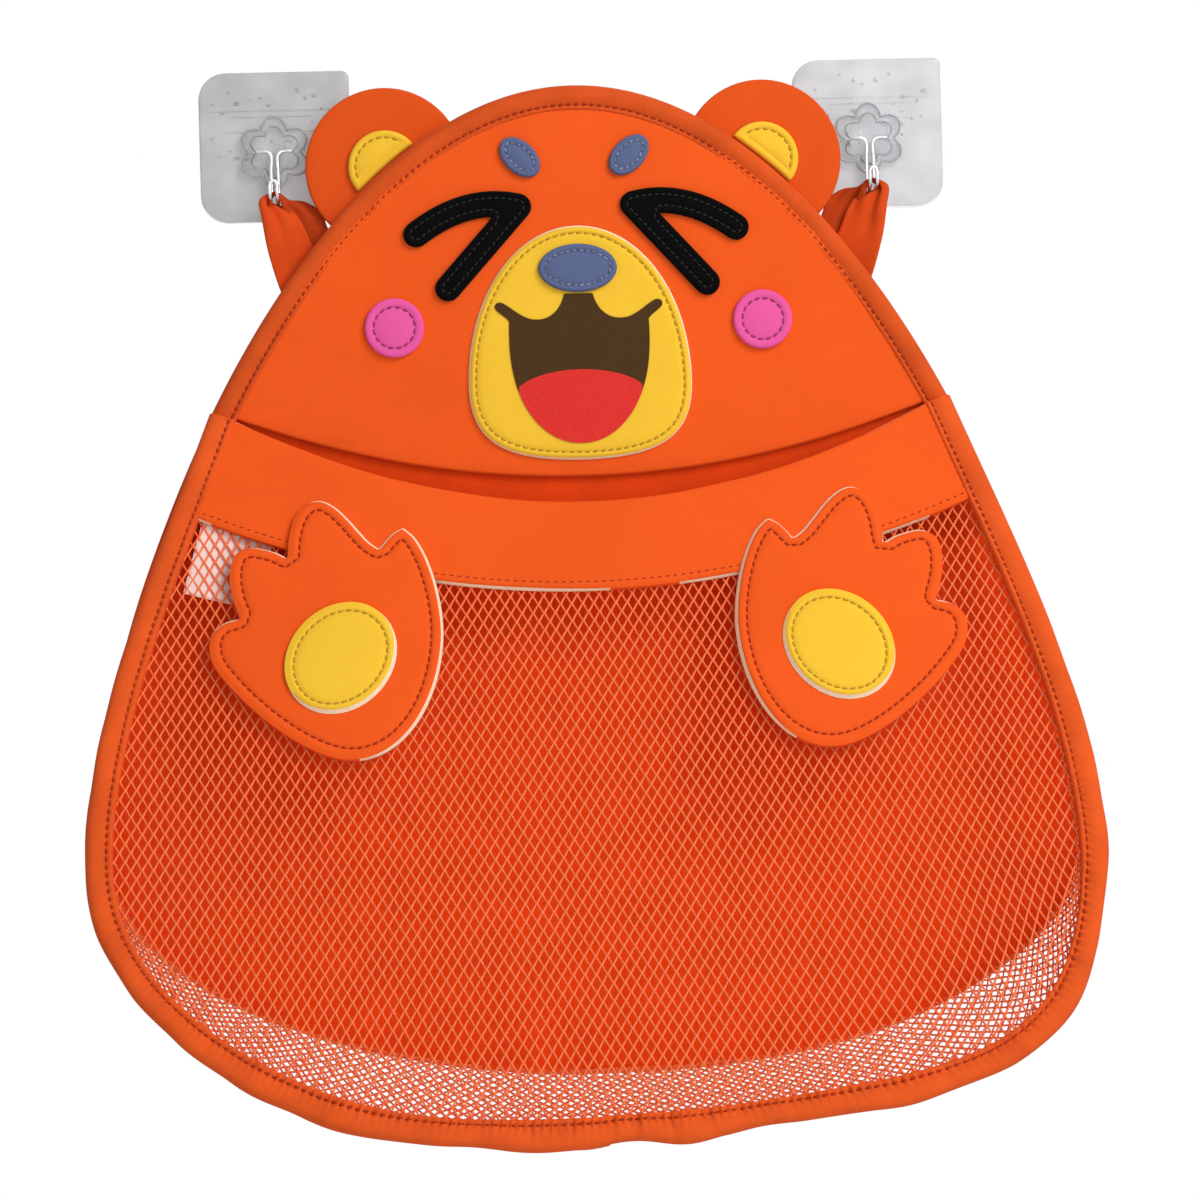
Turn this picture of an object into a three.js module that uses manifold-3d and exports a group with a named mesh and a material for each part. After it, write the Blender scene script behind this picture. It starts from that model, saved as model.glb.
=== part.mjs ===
// Bath toy organizer: a bear-shaped mesh bag that hangs by two sewn straps on two clear self-adhesive
// wire hooks.
// Millimetres, +Z up, the front faces -Y. The origin lies on the wall, midway between the two hook plates.
import * as THREE from "three";
import { mergeVertices } from "three/addons/utils/BufferGeometryUtils.js";
import Module from "manifold-3d";

const wasm = await Module();
wasm.setup();

// Fits
const GAP = 0.3; // left between pieces that lie on each other
const STEPS = 14; // chords in each curve of an outline

// Hooks
const HOOK_SPACING = 237; // between the two hook centres
const PLATE_SIDE = 60;
const PLATE_THICK = 1;
const PLATE_ROUND = 11; // three corners
const PLATE_SHARP = 3; // the corner at the top right
const BOSS_RADIUS = 10.4; // to the middle of a petal
const BOSS_PETAL = 4.2; // radius of a petal
const BOSS_PETALS = 6;
const BOSS_THICK = 2.6;
const LUG_WIDE = 2.6; // the two lugs that hold the wire's ends
const LUG_TALL = 8;
const PIVOT_OUT = 6.5; // from the wall to the wire's pivot
const PIVOT_DROP = 2.5; // below the plate's centre
const WIRE = 1.5; // diameter
const WIRE_PLAY = 0.1; // radial clearance of the wire in its lugs
const LEG_SPACING = 2.8; // between the wire's two legs
const LEG_LONG = 16.2; // from the pivot to the middle of the bend
const BEND_RADIUS = 5.5; // to the middle of the wire
const TIP_RISE = 2; // of the tip above the middle of the bend

// Layers of the head, counted out from the wall
const EAR_OUT = 9.2;
const FOAM = 3; // neoprene panels
const PATCH = 2.2; // neoprene patches sewn on the panels
const LINING = 1.8; // back panel
const TAPE = 1; // binding tape
const HEAD_BINDING_WIDE = 9.5;
const STRAP_WIDE = 23;
const STRAP_PINCHED = 6; // where the hook gathers it
const STRAP_THICK = 1.4;
const STRAP_PLACE = 0.67; // along the dome's curve, from its top to the shoulder
const STRAP_TUCK = 8; // sewn behind the rim
const STRAP_STEPS = 8;

// Outline of the bag, seen from the front
const HEAD_TOP = 19;
const SHOULDER_WIDE = 145.4; // half widths
const SHOULDER_DROP = 107.8; // below the hook centres
const BELLY_WIDE = 193;
const BELLY_DROP = 277;
const BASE_DROP = 385.2;
const BACK_INSET = 8; // of the back panel's belly from the front's
const BACK_LIFT = 22; // of the back panel's base from the front's
const FRONT_TILT = THREE.MathUtils.degToRad(16);
const FRONT_OUT = 17.5; // from the wall to the front's lining side, at the shoulders

// Mouth, chest band and net
const MOUTH_WIDE = 136; // half the mouth's width
const MOUTH_GAP = 2.5; // between the shoulder seam and the mouth's corners
const HEAD_SAG = 26; // of the head panel's lower edge
const BAND_SAG = 35.5; // of the band's upper edge
const BAND_LOW_WIDE = 154; // half the band's width at its lower corners
const BAND_LOW_DROP = 40; // of the lower corners below the shoulder
const BAND_LOW_SAG = 33;
const BAND_LAP = 8; // of the band over the net
const HEAD_BINDING_SHORT = 3.5; // of the shoulder, where the lower binding starts
const EDGE_INSET = 2; // of the net and the band inside the folded binding
const LOWER_BINDING_WIDE = 10;
const NET_THICK = 1;
const NET_CELL_WIDE = 17;
const NET_CELL_TALL = 30;
const NET_STRAND = 2;
const NET_HEM = 4; // unpierced edge beside the binding and the band
const GUSSET_THICK = 1.2;
const GUSSET_START = 18; // below the shoulders
const GUSSET_FRONT_INSET = 6; // of the gusset from the front's edge
const GUSSET_BACK_INSET = 3; // of the gusset from the back panel's edge

// Face, ears, paws and label
const EAR_ACROSS = 149.5; // between the two ears' middles
const EAR_DROP = 10.5;
const EAR_RADIUS = 31.5;
const INNER_EAR_RADIUS = 14.5;
const BROW_ACROSS = 43;
const BROW_DROP = 9;
const BROW = new THREE.Vector2(19, 12.4);
const BROW_TURN = THREE.MathUtils.degToRad(45);
const EYE_STROKE = 8;
const EYE_APEX = new THREE.Vector2(22.5, -28.5);
const EYE_UPPER = new THREE.Vector2(63, -38.5);
const EYE_LOWER = new THREE.Vector2(51, -60);
const EYE_ARCH = 5; // of the upper stroke
const CHEEK_ACROSS = 145;
const CHEEK_DROP = 75;
const CHEEK_RADIUS = 11.7;
const MUZZLE_DROP = 82.5;
const MUZZLE_WIDE = 88;
const MUZZLE_TALL = 92;
const MUZZLE_LOW = 16; // its widest line below its middle
const NOSE_DROP = 53.5;
const NOSE = new THREE.Vector2(31, 19);
const PAW_TALL = 100;
const PAW_ACROSS = 200;
const PAW_DROP = 197;
const PAW_TURN = THREE.MathUtils.degToRad(-1.6);
const PAD = new THREE.Vector2(46, 39);
const PAD_TURN = THREE.MathUtils.degToRad(43);
const PAD_PLACE = new THREE.Vector2(4.6, -8.5);
const LABEL = new THREE.Vector2(22, 28);
const LABEL_THICK = 0.5;
const LABEL_DROP = 152;

const orange = new THREE.MeshStandardMaterial({ color: "#ea5a20", roughness: 0.85 });
const bindingOrange = new THREE.MeshStandardMaterial({ color: "#df5530", roughness: 0.8 });
const netOrange = new THREE.MeshStandardMaterial({ color: "#ff6f45", roughness: 0.7 });
const liningRed = new THREE.MeshStandardMaterial({ color: "#d83a14", roughness: 0.85 });
const yellow = new THREE.MeshStandardMaterial({ color: "#f0c534", roughness: 0.85 });
const slate = new THREE.MeshStandardMaterial({ color: "#6f7ca0", roughness: 0.85 });
const black = new THREE.MeshStandardMaterial({ color: "#161717", roughness: 0.9 });
const pink = new THREE.MeshStandardMaterial({ color: "#ee62b2", roughness: 0.85 });
const white = new THREE.MeshStandardMaterial({ color: "#f2eeea", roughness: 0.9 });
const clear = new THREE.MeshStandardMaterial({ color: "#d9dadb", roughness: 0.2 });
const steel = new THREE.MeshStandardMaterial({ color: "#c8cacc", roughness: 0.2, metalness: 1 });

// The wall frame: x across, y up, z out from the wall. The front frame leans out of it at the shoulders.
const part = new THREE.Group();
const wall = new THREE.Group();
wall.rotation.x = Math.PI / 2;
part.add(wall);
const front = new THREE.Group();
front.position.set(0, -SHOULDER_DROP, FRONT_OUT);
front.rotation.x = -FRONT_TILT;
wall.add(front);
front.updateMatrix();

function place(group, name, geometry, material) {
  const mesh = new THREE.Mesh(geometry, material);
  mesh.name = name;
  group.add(mesh);
  return mesh;
}

// Booleans
function solid(geometry) {
  const bare = new THREE.BufferGeometry();
  const loose = geometry.index ? geometry.toNonIndexed() : geometry;
  bare.setAttribute("position", loose.getAttribute("position"));
  const merged = mergeVertices(bare, 1e-4);
  const mesh = new wasm.Mesh({
    numProp: 3,
    vertProperties: merged.getAttribute("position").array,
    triVerts: new Uint32Array(merged.index.array),
  });
  return new wasm.Manifold(mesh);
}

function surface(manifold) {
  const mesh = manifold.getMesh();
  const geometry = new THREE.BufferGeometry();
  geometry.setAttribute("position", new THREE.BufferAttribute(mesh.vertProperties, mesh.numProp));
  geometry.setIndex(new THREE.BufferAttribute(mesh.triVerts, 1));
  return geometry;
}

// A flat sheet with the given outline, from one height to another along z.
function sheet(outline, low, thick) {
  const shape = new THREE.Shape(outline);
  const geometry = new THREE.ExtrudeGeometry(shape, { depth: thick, bevelEnabled: false });
  return geometry.translate(0, 0, low);
}

// A closed skin over rings of as many points each, with a flat cap at each end.
function loft(rings) {
  const count = rings[0].length;
  const points = [];
  const quad = (a, b, c, d) => points.push(a, b, c, a, c, d);
  for (let i = 0; i + 1 < rings.length; i += 1) {
    for (let k = 0; k < count; k += 1) {
      const next = (k + 1) % count;
      quad(rings[i][k], rings[i][next], rings[i + 1][next], rings[i + 1][k]);
    }
  }
  for (const [ring, flip] of [[rings[0], true], [rings.at(-1), false]]) {
    for (const [a, b, c] of capTriangles(ring)) {
      points.push(ring[a], ring[flip ? c : b], ring[flip ? b : c]);
    }
  }
  const geometry = new THREE.BufferGeometry().setFromPoints(points);
  return outward(geometry);
}

// The triangles of a flat ring, worked out in its own plane.
function capTriangles(ring) {
  const normal = new THREE.Vector3();
  ring.forEach((p, i) => normal.add(new THREE.Vector3().crossVectors(p, ring[(i + 1) % ring.length])));
  const turn = new THREE.Quaternion().setFromUnitVectors(normal.normalize(), new THREE.Vector3(0, 0, 1));
  const flat = ring.map((p) => p.clone().applyQuaternion(turn));
  return THREE.ShapeUtils.triangulateShape(flat.map((p) => new THREE.Vector2(p.x, p.y)), []);
}

// Turns a closed surface's faces round if they point inwards.
function outward(geometry) {
  const p = geometry.getAttribute("position");
  const corner = (i) => new THREE.Vector3().fromBufferAttribute(p, i);
  let volume = 0;
  for (let i = 0; i < p.count; i += 3) {
    volume += corner(i).dot(corner(i + 1).cross(corner(i + 2)));
  }
  if (volume > 0) return geometry;
  for (let i = 0; i < p.count; i += 3) {
    const [b, c] = [corner(i + 1), corner(i + 2)];
    p.setXYZ(i + 1, c.x, c.y, c.z);
    p.setXYZ(i + 2, b.x, b.y, b.z);
  }
  return geometry;
}

// Plane curves
const at = (x, y) => new THREE.Vector2(x, y);
const mirrored = (points) => points.map((p) => at(-p.x, p.y)).reverse();

function bezier(a, b, c, d, steps = STEPS) {
  return new THREE.CubicBezierCurve(a, b, c, d).getPoints(steps);
}

// Moves an open line sideways, to its left as it runs.
function offset(line, distance) {
  return line.map((p, i) => {
    const along = line[Math.min(i + 1, line.length - 1)].clone().sub(line[Math.max(i - 1, 0)]).normalize();
    return at(p.x - along.y * distance, p.y + along.x * distance);
  });
}

function ellipse(size, turn, x, y, steps = 28) {
  const curve = new THREE.EllipseCurve(x, y, size.x / 2, size.y / 2, 0, 2 * Math.PI, false, turn);
  return curve.getPoints(steps).slice(0, -1);
}

// The sag of an edge that hangs between the two corners of the mouth.
function hangingEdge(wide, drop, sag, steps = 2 * STEPS) {
  const points = [];
  for (let i = 0; i <= steps; i += 1) {
    const across = (2 * i) / steps - 1;
    points.push(at(wide * across, -drop - sag * (1 - across * across)));
  }
  return points;
}

// Outline of the bag: each line runs from the left shoulder to the right one.
const shoulder = at(SHOULDER_WIDE, -SHOULDER_DROP);
const DOME_LEAN = at(0.456, -0.89); // the way the dome runs down at the shoulder
const SIDE_LEAN = at(0.347, -0.938); // the way the front's side leaves it
const DOME_TOP_PULL = 62;
const DOME_SIDE_PULL = 70;
const SIDE_TOP_PULL = 60;
const SIDE_BELLY_PULL = 52;
const BASE_BELLY_PULL = 66;
const BASE_PULL = 115;

const domeCurve = new THREE.CubicBezierCurve(
  at(0, HEAD_TOP),
  at(DOME_TOP_PULL, HEAD_TOP),
  shoulder.clone().addScaledVector(DOME_LEAN, -DOME_SIDE_PULL),
  shoulder,
);

// The dome from shoulder to shoulder, stopping short of them by a length of the rim.
function domeLine(short) {
  const share = 1 - short / (3 * DOME_SIDE_PULL);
  const right = [];
  for (let i = 0; i <= 2 * STEPS; i += 1) right.push(domeCurve.getPoint((share * i) / (2 * STEPS)));
  return [...mirrored(right), ...right.slice(1)];
}

// The lower outline, from shoulder to shoulder round the base.
function skirt(inset, lift, lean) {
  const belly = at(BELLY_WIDE - inset, -BELLY_DROP);
  const base = at(0, lift - BASE_DROP);
  const pull = 1 - lift / (BASE_DROP - BELLY_DROP);
  const side = bezier(
    shoulder,
    shoulder.clone().addScaledVector(lean, SIDE_TOP_PULL),
    at(belly.x, belly.y + SIDE_BELLY_PULL),
    belly,
  );
  const bend = at(belly.x, belly.y - pull * BASE_BELLY_PULL);
  const round = bezier(belly, bend, at(pull * BASE_PULL, base.y), base);
  const right = [...side, ...round.slice(1)];
  return [...mirrored(right).reverse(), ...[...right].reverse().slice(1)];
}

const frontSkirt = skirt(0, 0, SIDE_LEAN);
const backSkirt = skirt(BACK_INSET, BACK_LIFT, DOME_LEAN);

// A height on the wall as a height in the leaning front.
const lean = (p) => at(p.x, (p.y + SHOULDER_DROP) / Math.cos(FRONT_TILT));

const SIDES = [["left", -1], ["right", 1]];

// Layers, out from the wall
const bindingBack = EAR_OUT + FOAM + GAP;
const backPanelOut = bindingBack + TAPE + GAP;
const headOut = backPanelOut + LINING + GAP;
const faceOut = headOut + FOAM + GAP;
// Layers of the front, out from its net
const bandOut = NET_THICK + GAP;
const pawOut = bandOut + FOAM + GAP;
const padOut = pawOut + FOAM + GAP;

// Binding tape folded round an edge: a U section carried along a line.
// `edge` runs with its outside to the left.
function binding(edge, wide, low, high) {
  const outer = GAP + TAPE;
  const section = [
    [-wide, high],
    [-wide, high + TAPE],
    [GAP, high + TAPE],
    [outer, high],
    [outer, low],
    [GAP, low - TAPE],
    [-wide, low - TAPE],
    [-wide, low],
    [GAP, low],
    [GAP, high],
  ];
  const lines = section.map(([side]) => offset(edge, side));
  const rings = edge.map((_, i) => section.map(([, height], k) => {
    const p = lines[k][i];
    return new THREE.Vector3(p.x, p.y, height);
  }));
  return loft(rings);
}

// Hooks
function hook(side, sign) {
  const x = (sign * HOOK_SPACING) / 2;
  const group = new THREE.Group();
  group.position.set(x, 0, 0);
  wall.add(group);
  place(group, `hook_plate_${side}`, plate(), clear);
  place(group, `hook_boss_${side}`, boss(), clear);
  place(group, `hook_wire_${side}`, wire(), steel);
}

function plate() {
  const h = PLATE_SIDE / 2;
  const r = PLATE_ROUND;
  const s = PLATE_SHARP;
  const quarter = Math.PI / 2;
  const shape = new THREE.Shape();
  shape.absarc(-h + r, h - r, r, 2 * quarter, quarter, true);
  shape.absarc(h - s, h - s, s, quarter, 0, true);
  shape.absarc(h - r, -h + r, r, 0, -quarter, true);
  shape.absarc(-h + r, -h + r, r, -quarter, -2 * quarter, true);
  return new THREE.ExtrudeGeometry(shape, { depth: PLATE_THICK, bevelEnabled: false, curveSegments: 6 });
}

// The wire turns from its legs into the lugs with a bend of its own size.
const lugInner = LEG_SPACING / 2 + 2 * WIRE;

// A flower-shaped pad with two lugs, bored for the wire's ends.
function boss() {
  const points = [];
  const perPetal = 8;
  for (let i = 0; i < BOSS_PETALS * perPetal; i += 1) {
    const angle = (2 * Math.PI * i) / (BOSS_PETALS * perPetal);
    const swell = Math.abs(Math.cos((BOSS_PETALS * angle) / 2));
    const radius = BOSS_RADIUS + BOSS_PETAL * swell;
    points.push(at(radius * Math.sin(angle), radius * Math.cos(angle) - PIVOT_DROP));
  }
  const low = PLATE_THICK + GAP;
  let body = solid(sheet(points, low, BOSS_THICK));
  const bore = new THREE.CylinderGeometry(WIRE / 2 + WIRE_PLAY, WIRE / 2 + WIRE_PLAY, 4 * BOSS_RADIUS, 12);
  bore.rotateZ(Math.PI / 2).translate(0, -PIVOT_DROP, PIVOT_OUT);
  const lugOut = PIVOT_OUT + WIRE / 2 + PLATE_THICK;
  for (const sign of [-1, 1]) {
    const lug = new THREE.BoxGeometry(LUG_WIDE, LUG_TALL, lugOut - low - BOSS_THICK / 2);
    lug.translate(sign * (lugInner + LUG_WIDE / 2), -PIVOT_DROP, (lugOut + low + BOSS_THICK / 2) / 2);
    body = body.add(solid(lug));
  }
  return surface(body.subtract(solid(bore)));
}

// One length of wire: an end in a lug, down a leg, round the bend, over the closed tip and back.
function wire() {
  const half = LEG_SPACING / 2;
  const end = lugInner + LUG_WIDE;
  const top = -PIVOT_DROP;
  const middle = top - LEG_LONG;
  const out = PIVOT_OUT + BEND_RADIUS;
  const leg = [end, lugInner, half + WIRE].map((x) => new THREE.Vector3(x, top, PIVOT_OUT));
  leg.push(new THREE.Vector3(half, top - WIRE, PIVOT_OUT));
  leg.push(new THREE.Vector3(half, top - LEG_LONG / 2, PIVOT_OUT));
  for (let i = 0; i <= 6; i += 1) {
    const angle = (Math.PI * i) / 6;
    const up = middle - BEND_RADIUS * Math.sin(angle);
    leg.push(new THREE.Vector3(half, up, out - BEND_RADIUS * Math.cos(angle)));
  }
  leg.push(new THREE.Vector3(half, middle + TIP_RISE, out + BEND_RADIUS));
  const tip = new THREE.Vector3(0, middle + TIP_RISE + half, out + BEND_RADIUS);
  const other = leg.map((p) => new THREE.Vector3(-p.x, p.y, p.z)).reverse();
  const path = new THREE.CatmullRomCurve3([...leg, tip, ...other], false, "centripetal");
  const section = new THREE.Shape().absarc(0, 0, WIRE / 2, 0, 2 * Math.PI);
  const options = { extrudePath: path, steps: 60, curveSegments: 4, bevelEnabled: false };
  return new THREE.ExtrudeGeometry(section, options);
}

// Straps: a ribbon sewn flat behind the rim, gathered over the hook's bend and sewn down again behind its
// own end.
function strap(sign) {
  const wireSide = LEG_SPACING / 2 + WIRE / 2;
  const side = wireSide + 2 * GAP + STRAP_THICK / 2;
  const hollow = BEND_RADIUS - WIRE / 2;
  const rise = side;
  const overWire = rise * (1 - Math.sqrt(1 - (wireSide / side) ** 2));
  const deepest = Math.sqrt(hollow ** 2 - (STRAP_PINCHED / 2) ** 2);
  const top = GAP + STRAP_THICK / 2 + overWire - PIVOT_DROP - LEG_LONG - deepest;
  const saddle = new THREE.Vector3(HOOK_SPACING / 2, top - rise, PIVOT_OUT + BEND_RADIUS);
  const layers = STRAP_THICK + GAP;
  const rim = domeCurve.getPoint(STRAP_PLACE);
  const upRim = domeCurve.getTangent(STRAP_PLACE).negate();
  const root = new THREE.Vector3(rim.x, rim.y, bindingBack - GAP - STRAP_THICK - GAP / 2);
  const across = new THREE.Vector3(1, 0, 0);
  const out = new THREE.Vector3(0, 0, 1);
  const alongRim = new THREE.Vector3(upRim.x, upRim.y, 0);
  const tucked = root.clone().addScaledVector(new THREE.Vector3(-upRim.y, upRim.x, 0), STRAP_TUCK);
  // A cross-section, with the ribbon's width along `wideWay` and its thickness along `thickWay`.
  const corners = [[-1, -1], [1, -1], [1, 1], [-1, 1]];
  const section = (middle, wideWay, thickWay, wide) => corners.map(([a, b]) => {
    const corner = middle.clone().addScaledVector(wideWay, (a * wide) / 2);
    return corner.addScaledVector(thickWay, (b * STRAP_THICK) / 2);
  });
  // One leg, from the rim to the saddle: layer 1 is the leg in front, and -1 the one behind.
  const leg = (layer) => {
    const outside = out.clone().multiplyScalar(layer);
    const sewnEnd = tucked.clone().addScaledVector(outside, layers / 2);
    const rings = [section(sewnEnd, alongRim, outside, STRAP_WIDE)];
    for (let i = 0; i <= STRAP_STEPS; i += 1) {
      const eased = THREE.MathUtils.smoothstep(i / STRAP_STEPS, 0, 1);
      const turn = (eased * Math.PI) / 2;
      const thickWay = out.clone().multiplyScalar(Math.cos(turn)).addScaledVector(across, Math.sin(turn));
      const wideWay = alongRim.clone().multiplyScalar(Math.cos(turn)).addScaledVector(out, Math.sin(turn));
      wideWay.addScaledVector(thickWay, -wideWay.dot(thickWay)).normalize();
      thickWay.multiplyScalar(layer);
      const apart = THREE.MathUtils.lerp(layers, 2 * side, eased);
      const middle = root.clone().lerp(saddle, i / STRAP_STEPS).addScaledVector(thickWay, apart / 2);
      const wide = THREE.MathUtils.lerp(STRAP_WIDE, STRAP_PINCHED, eased);
      rings.push(section(middle, wideWay, thickWay, wide));
    }
    return rings;
  };
  const arch = [];
  for (let i = 1; i < STRAP_STEPS; i += 1) {
    const angle = (Math.PI * i) / STRAP_STEPS;
    const away = new THREE.Vector3(Math.cos(angle), Math.sin(angle), 0);
    arch.push(section(saddle.clone().addScaledVector(away, side), out, away, STRAP_PINCHED));
  }
  const rings = [...leg(1), ...arch, ...leg(-1).reverse()];
  return loft(rings.map((ring) => ring.map((p) => new THREE.Vector3(sign * p.x, p.y, p.z))));
}

// Head
function head() {
  const rim = domeLine(0);
  const sewn = domeLine(HEAD_BINDING_SHORT);
  const lower = hangingEdge(MOUTH_WIDE, SHOULDER_DROP + MOUTH_GAP / 2, HEAD_SAG);
  const back = [...rim, ...[...backSkirt].reverse().slice(1, -1)];
  place(wall, "back_panel", sheet(back, backPanelOut, LINING), liningRed);
  place(wall, "head_panel", sheet([...sewn, ...lower.reverse()], headOut, FOAM), orange);
  const tape = binding(sewn, HEAD_BINDING_WIDE, backPanelOut - GAP, faceOut);
  place(wall, "head_binding", tape, bindingOrange);
  const behindRim = solid(sheet(offset(rim, 2 * GAP + TAPE), 0, FRONT_OUT));
  for (const [side, sign] of SIDES) {
    const round = (radius) => ellipse(at(2 * radius, 2 * radius), 0, (sign * EAR_ACROSS) / 2, -EAR_DROP);
    place(wall, `ear_${side}`, sheet(round(EAR_RADIUS), EAR_OUT, FOAM), orange);
    const inner = solid(sheet(round(INNER_EAR_RADIUS), EAR_OUT + FOAM + GAP, PATCH));
    place(wall, `inner_ear_${side}`, surface(inner.subtract(behindRim)), yellow);
    place(wall, `strap_${side}`, strap(sign), orange);
  }
}

// Face
function face() {
  for (const [side, sign] of SIDES) {
    const flip = (points) => (sign > 0 ? points : mirrored(points));
    const brow = flip(ellipse(BROW, BROW_TURN, BROW_ACROSS / 2, -BROW_DROP));
    const cheek = ellipse(at(2 * CHEEK_RADIUS, 2 * CHEEK_RADIUS), 0, (sign * CHEEK_ACROSS) / 2, -CHEEK_DROP);
    const strokes = eyeStrokes().map((line) => solid(sheet(flip(line), faceOut, PATCH)));
    place(wall, `brow_${side}`, sheet(brow, faceOut, PATCH), slate);
    place(wall, `cheek_${side}`, sheet(cheek, faceOut, PATCH), pink);
    place(wall, `eye_${side}`, surface(strokes[0].add(strokes[1])), black);
  }
  place(wall, "muzzle", sheet(muzzle(), faceOut, PATCH), yellow);
  place(wall, "nose", sheet(ellipse(NOSE, 0, 0, -NOSE_DROP), faceOut + PATCH + GAP, PATCH), slate);
}

// An egg that is widest below its middle.
function muzzle() {
  const round = 0.56; // handles that make a quarter of an ellipse
  const full = 0.72; // handles that make a squarer quarter
  const top = at(0, MUZZLE_TALL / 2 - MUZZLE_DROP);
  const side = at(MUZZLE_WIDE / 2, -MUZZLE_LOW - MUZZLE_DROP);
  const bottom = at(0, -MUZZLE_TALL / 2 - MUZZLE_DROP);
  const high = THREE.MathUtils.lerp(side.y, top.y, round);
  const upper = bezier(top, at(side.x * round, top.y), at(side.x, high), side);
  const low = THREE.MathUtils.lerp(side.y, bottom.y, full);
  const lower = bezier(side, at(side.x, low), at(side.x * full, bottom.y), bottom);
  const right = [...upper, ...lower.slice(1)];
  return [...right, ...mirrored(right).slice(1, -1)];
}

// A squeezed-shut eye: two round-ended strokes that meet at a point towards the nose.
function eyeStrokes() {
  const crest = EYE_APEX.clone().lerp(EYE_UPPER, 0.5).add(at(0, 2 * EYE_ARCH));
  const upper = new THREE.QuadraticBezierCurve(EYE_APEX, crest, EYE_UPPER).getPoints(STEPS);
  return [upper, [EYE_APEX, EYE_LOWER]].map((line) => {
    const half = EYE_STROKE / 2;
    const first = line[1].clone().sub(line[0]).angle();
    const last = line.at(-1).clone().sub(line.at(-2)).angle();
    const end = (p, start) =>
      new THREE.EllipseCurve(p.x, p.y, half, half, start, start + Math.PI).getPoints(STEPS);
    const farEnd = end(line.at(-1), last - Math.PI / 2);
    const nearEnd = end(line[0], first + Math.PI / 2);
    const there = offset(line, -half).slice(1, -1);
    const back = offset(line, half).slice(1, -1).reverse();
    return [...there, ...farEnd, ...back, ...nearEnd];
  });
}

// Front of the bag: the chest band, the net below it and the folded tape round their edge.
function bag() {
  const edge = frontSkirt.map(lean);
  const field = solid(sheet(offset(edge, EDGE_INSET), 0, bandOut + FOAM));
  const bandTop = hangingEdge(MOUTH_WIDE, SHOULDER_DROP + MOUTH_GAP, BAND_SAG).map(lean);
  const beyond = BELLY_WIDE / BAND_LOW_WIDE;
  const cornerDrop = SHOULDER_DROP + BAND_LOW_DROP + BAND_LOW_SAG * (1 - beyond ** 2);
  const bandLow = hangingEdge(BELLY_WIDE, cornerDrop, BAND_LOW_SAG * beyond ** 2).map(lean);
  const lap = bandLow.map((p) => at(p.x, p.y + BAND_LAP));
  const band = solid(sheet([...bandLow, ...bandTop.reverse()], bandOut, FOAM)).intersect(field);
  place(front, "chest_band", surface(band), orange);

  const deep = -BASE_DROP;
  const lapLine = [at(-BELLY_WIDE, deep), at(BELLY_WIDE, deep), ...lap.reverse()];
  const belowLap = solid(sheet(lapLine, 0, NET_THICK));
  const hemTop = bandLow.map((p) => at(p.x, p.y - NET_HEM));
  const gaps = netGaps(offset(edge, LOWER_BINDING_WIDE + NET_HEM), hemTop);
  const pierced = gaps.map((gap) => sheet(gap, -NET_THICK, 3 * NET_THICK));
  const net = pierced.reduce((left, gap) => left.subtract(solid(gap)), belowLap.intersect(field));
  place(front, "front_net", surface(net), netOrange);

  const tape = binding([...edge].reverse(), LOWER_BINDING_WIDE, -GAP, pawOut);
  place(front, "lower_binding", tape, bindingOrange);
  place(wall, "gusset_net", gusset(), netOrange);

  const labelTop = lean(at(0, -LABEL_DROP)).y;
  const seam = offset(edge, LOWER_BINDING_WIDE + GAP).findLast((p) => p.x < 0 && p.y > labelTop);
  const label = new THREE.BoxGeometry(LABEL.x, LABEL.y, LABEL_THICK);
  label.translate(seam.x + LABEL.x / 2, labelTop - LABEL.y / 2, -GAP - LABEL_THICK / 2);
  place(front, "label_tab", label, white);
}

// The centres of the net's gaps step sideways by half a cell from row to row; those that reach the hem are
// left out.
function netGaps(hem, bandLine) {
  const wide = NET_CELL_WIDE / 2;
  const tall = NET_CELL_TALL / 2;
  const strand = NET_STRAND / (2 * Math.sin(Math.atan2(tall, wide)));
  const across = wide - strand;
  const up = (across * tall) / wide;
  const rows = Math.ceil((BASE_DROP - SHOULDER_DROP) / Math.cos(FRONT_TILT) / tall);
  const columns = Math.ceil(BELLY_WIDE / NET_CELL_WIDE);
  const gaps = [];
  for (let row = 0; row <= rows; row += 1) {
    for (let column = -columns; column <= columns; column += 1) {
      const x = column * NET_CELL_WIDE + (row % 2) * wide;
      const y = -row * tall;
      const gap = [at(x, y - up), at(x + across, y), at(x, y + up), at(x - across, y)];
      if (gap.every((p) => inside(p, hem) && p.y < heightOn(bandLine, p.x))) gaps.push(gap);
    }
  }
  return gaps;
}

// The height of a line that runs from left to right.
function heightOn(line, x) {
  const i = Math.max(1, line.findIndex((p) => p.x >= x));
  const [a, b] = [line[i - 1], line[i]];
  return THREE.MathUtils.mapLinear(x, a.x, b.x, a.y, b.y);
}

// Whether a point lies inside a closed line, by counting crossings.
function inside(p, line) {
  let odd = false;
  line.forEach((a, i) => {
    const b = line[(i + 1) % line.length];
    const spans = a.y > p.y !== b.y > p.y;
    if (spans && p.x < THREE.MathUtils.mapLinear(p.y, a.y, b.y, a.x, b.x)) odd = !odd;
  });
  return odd;
}

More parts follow.
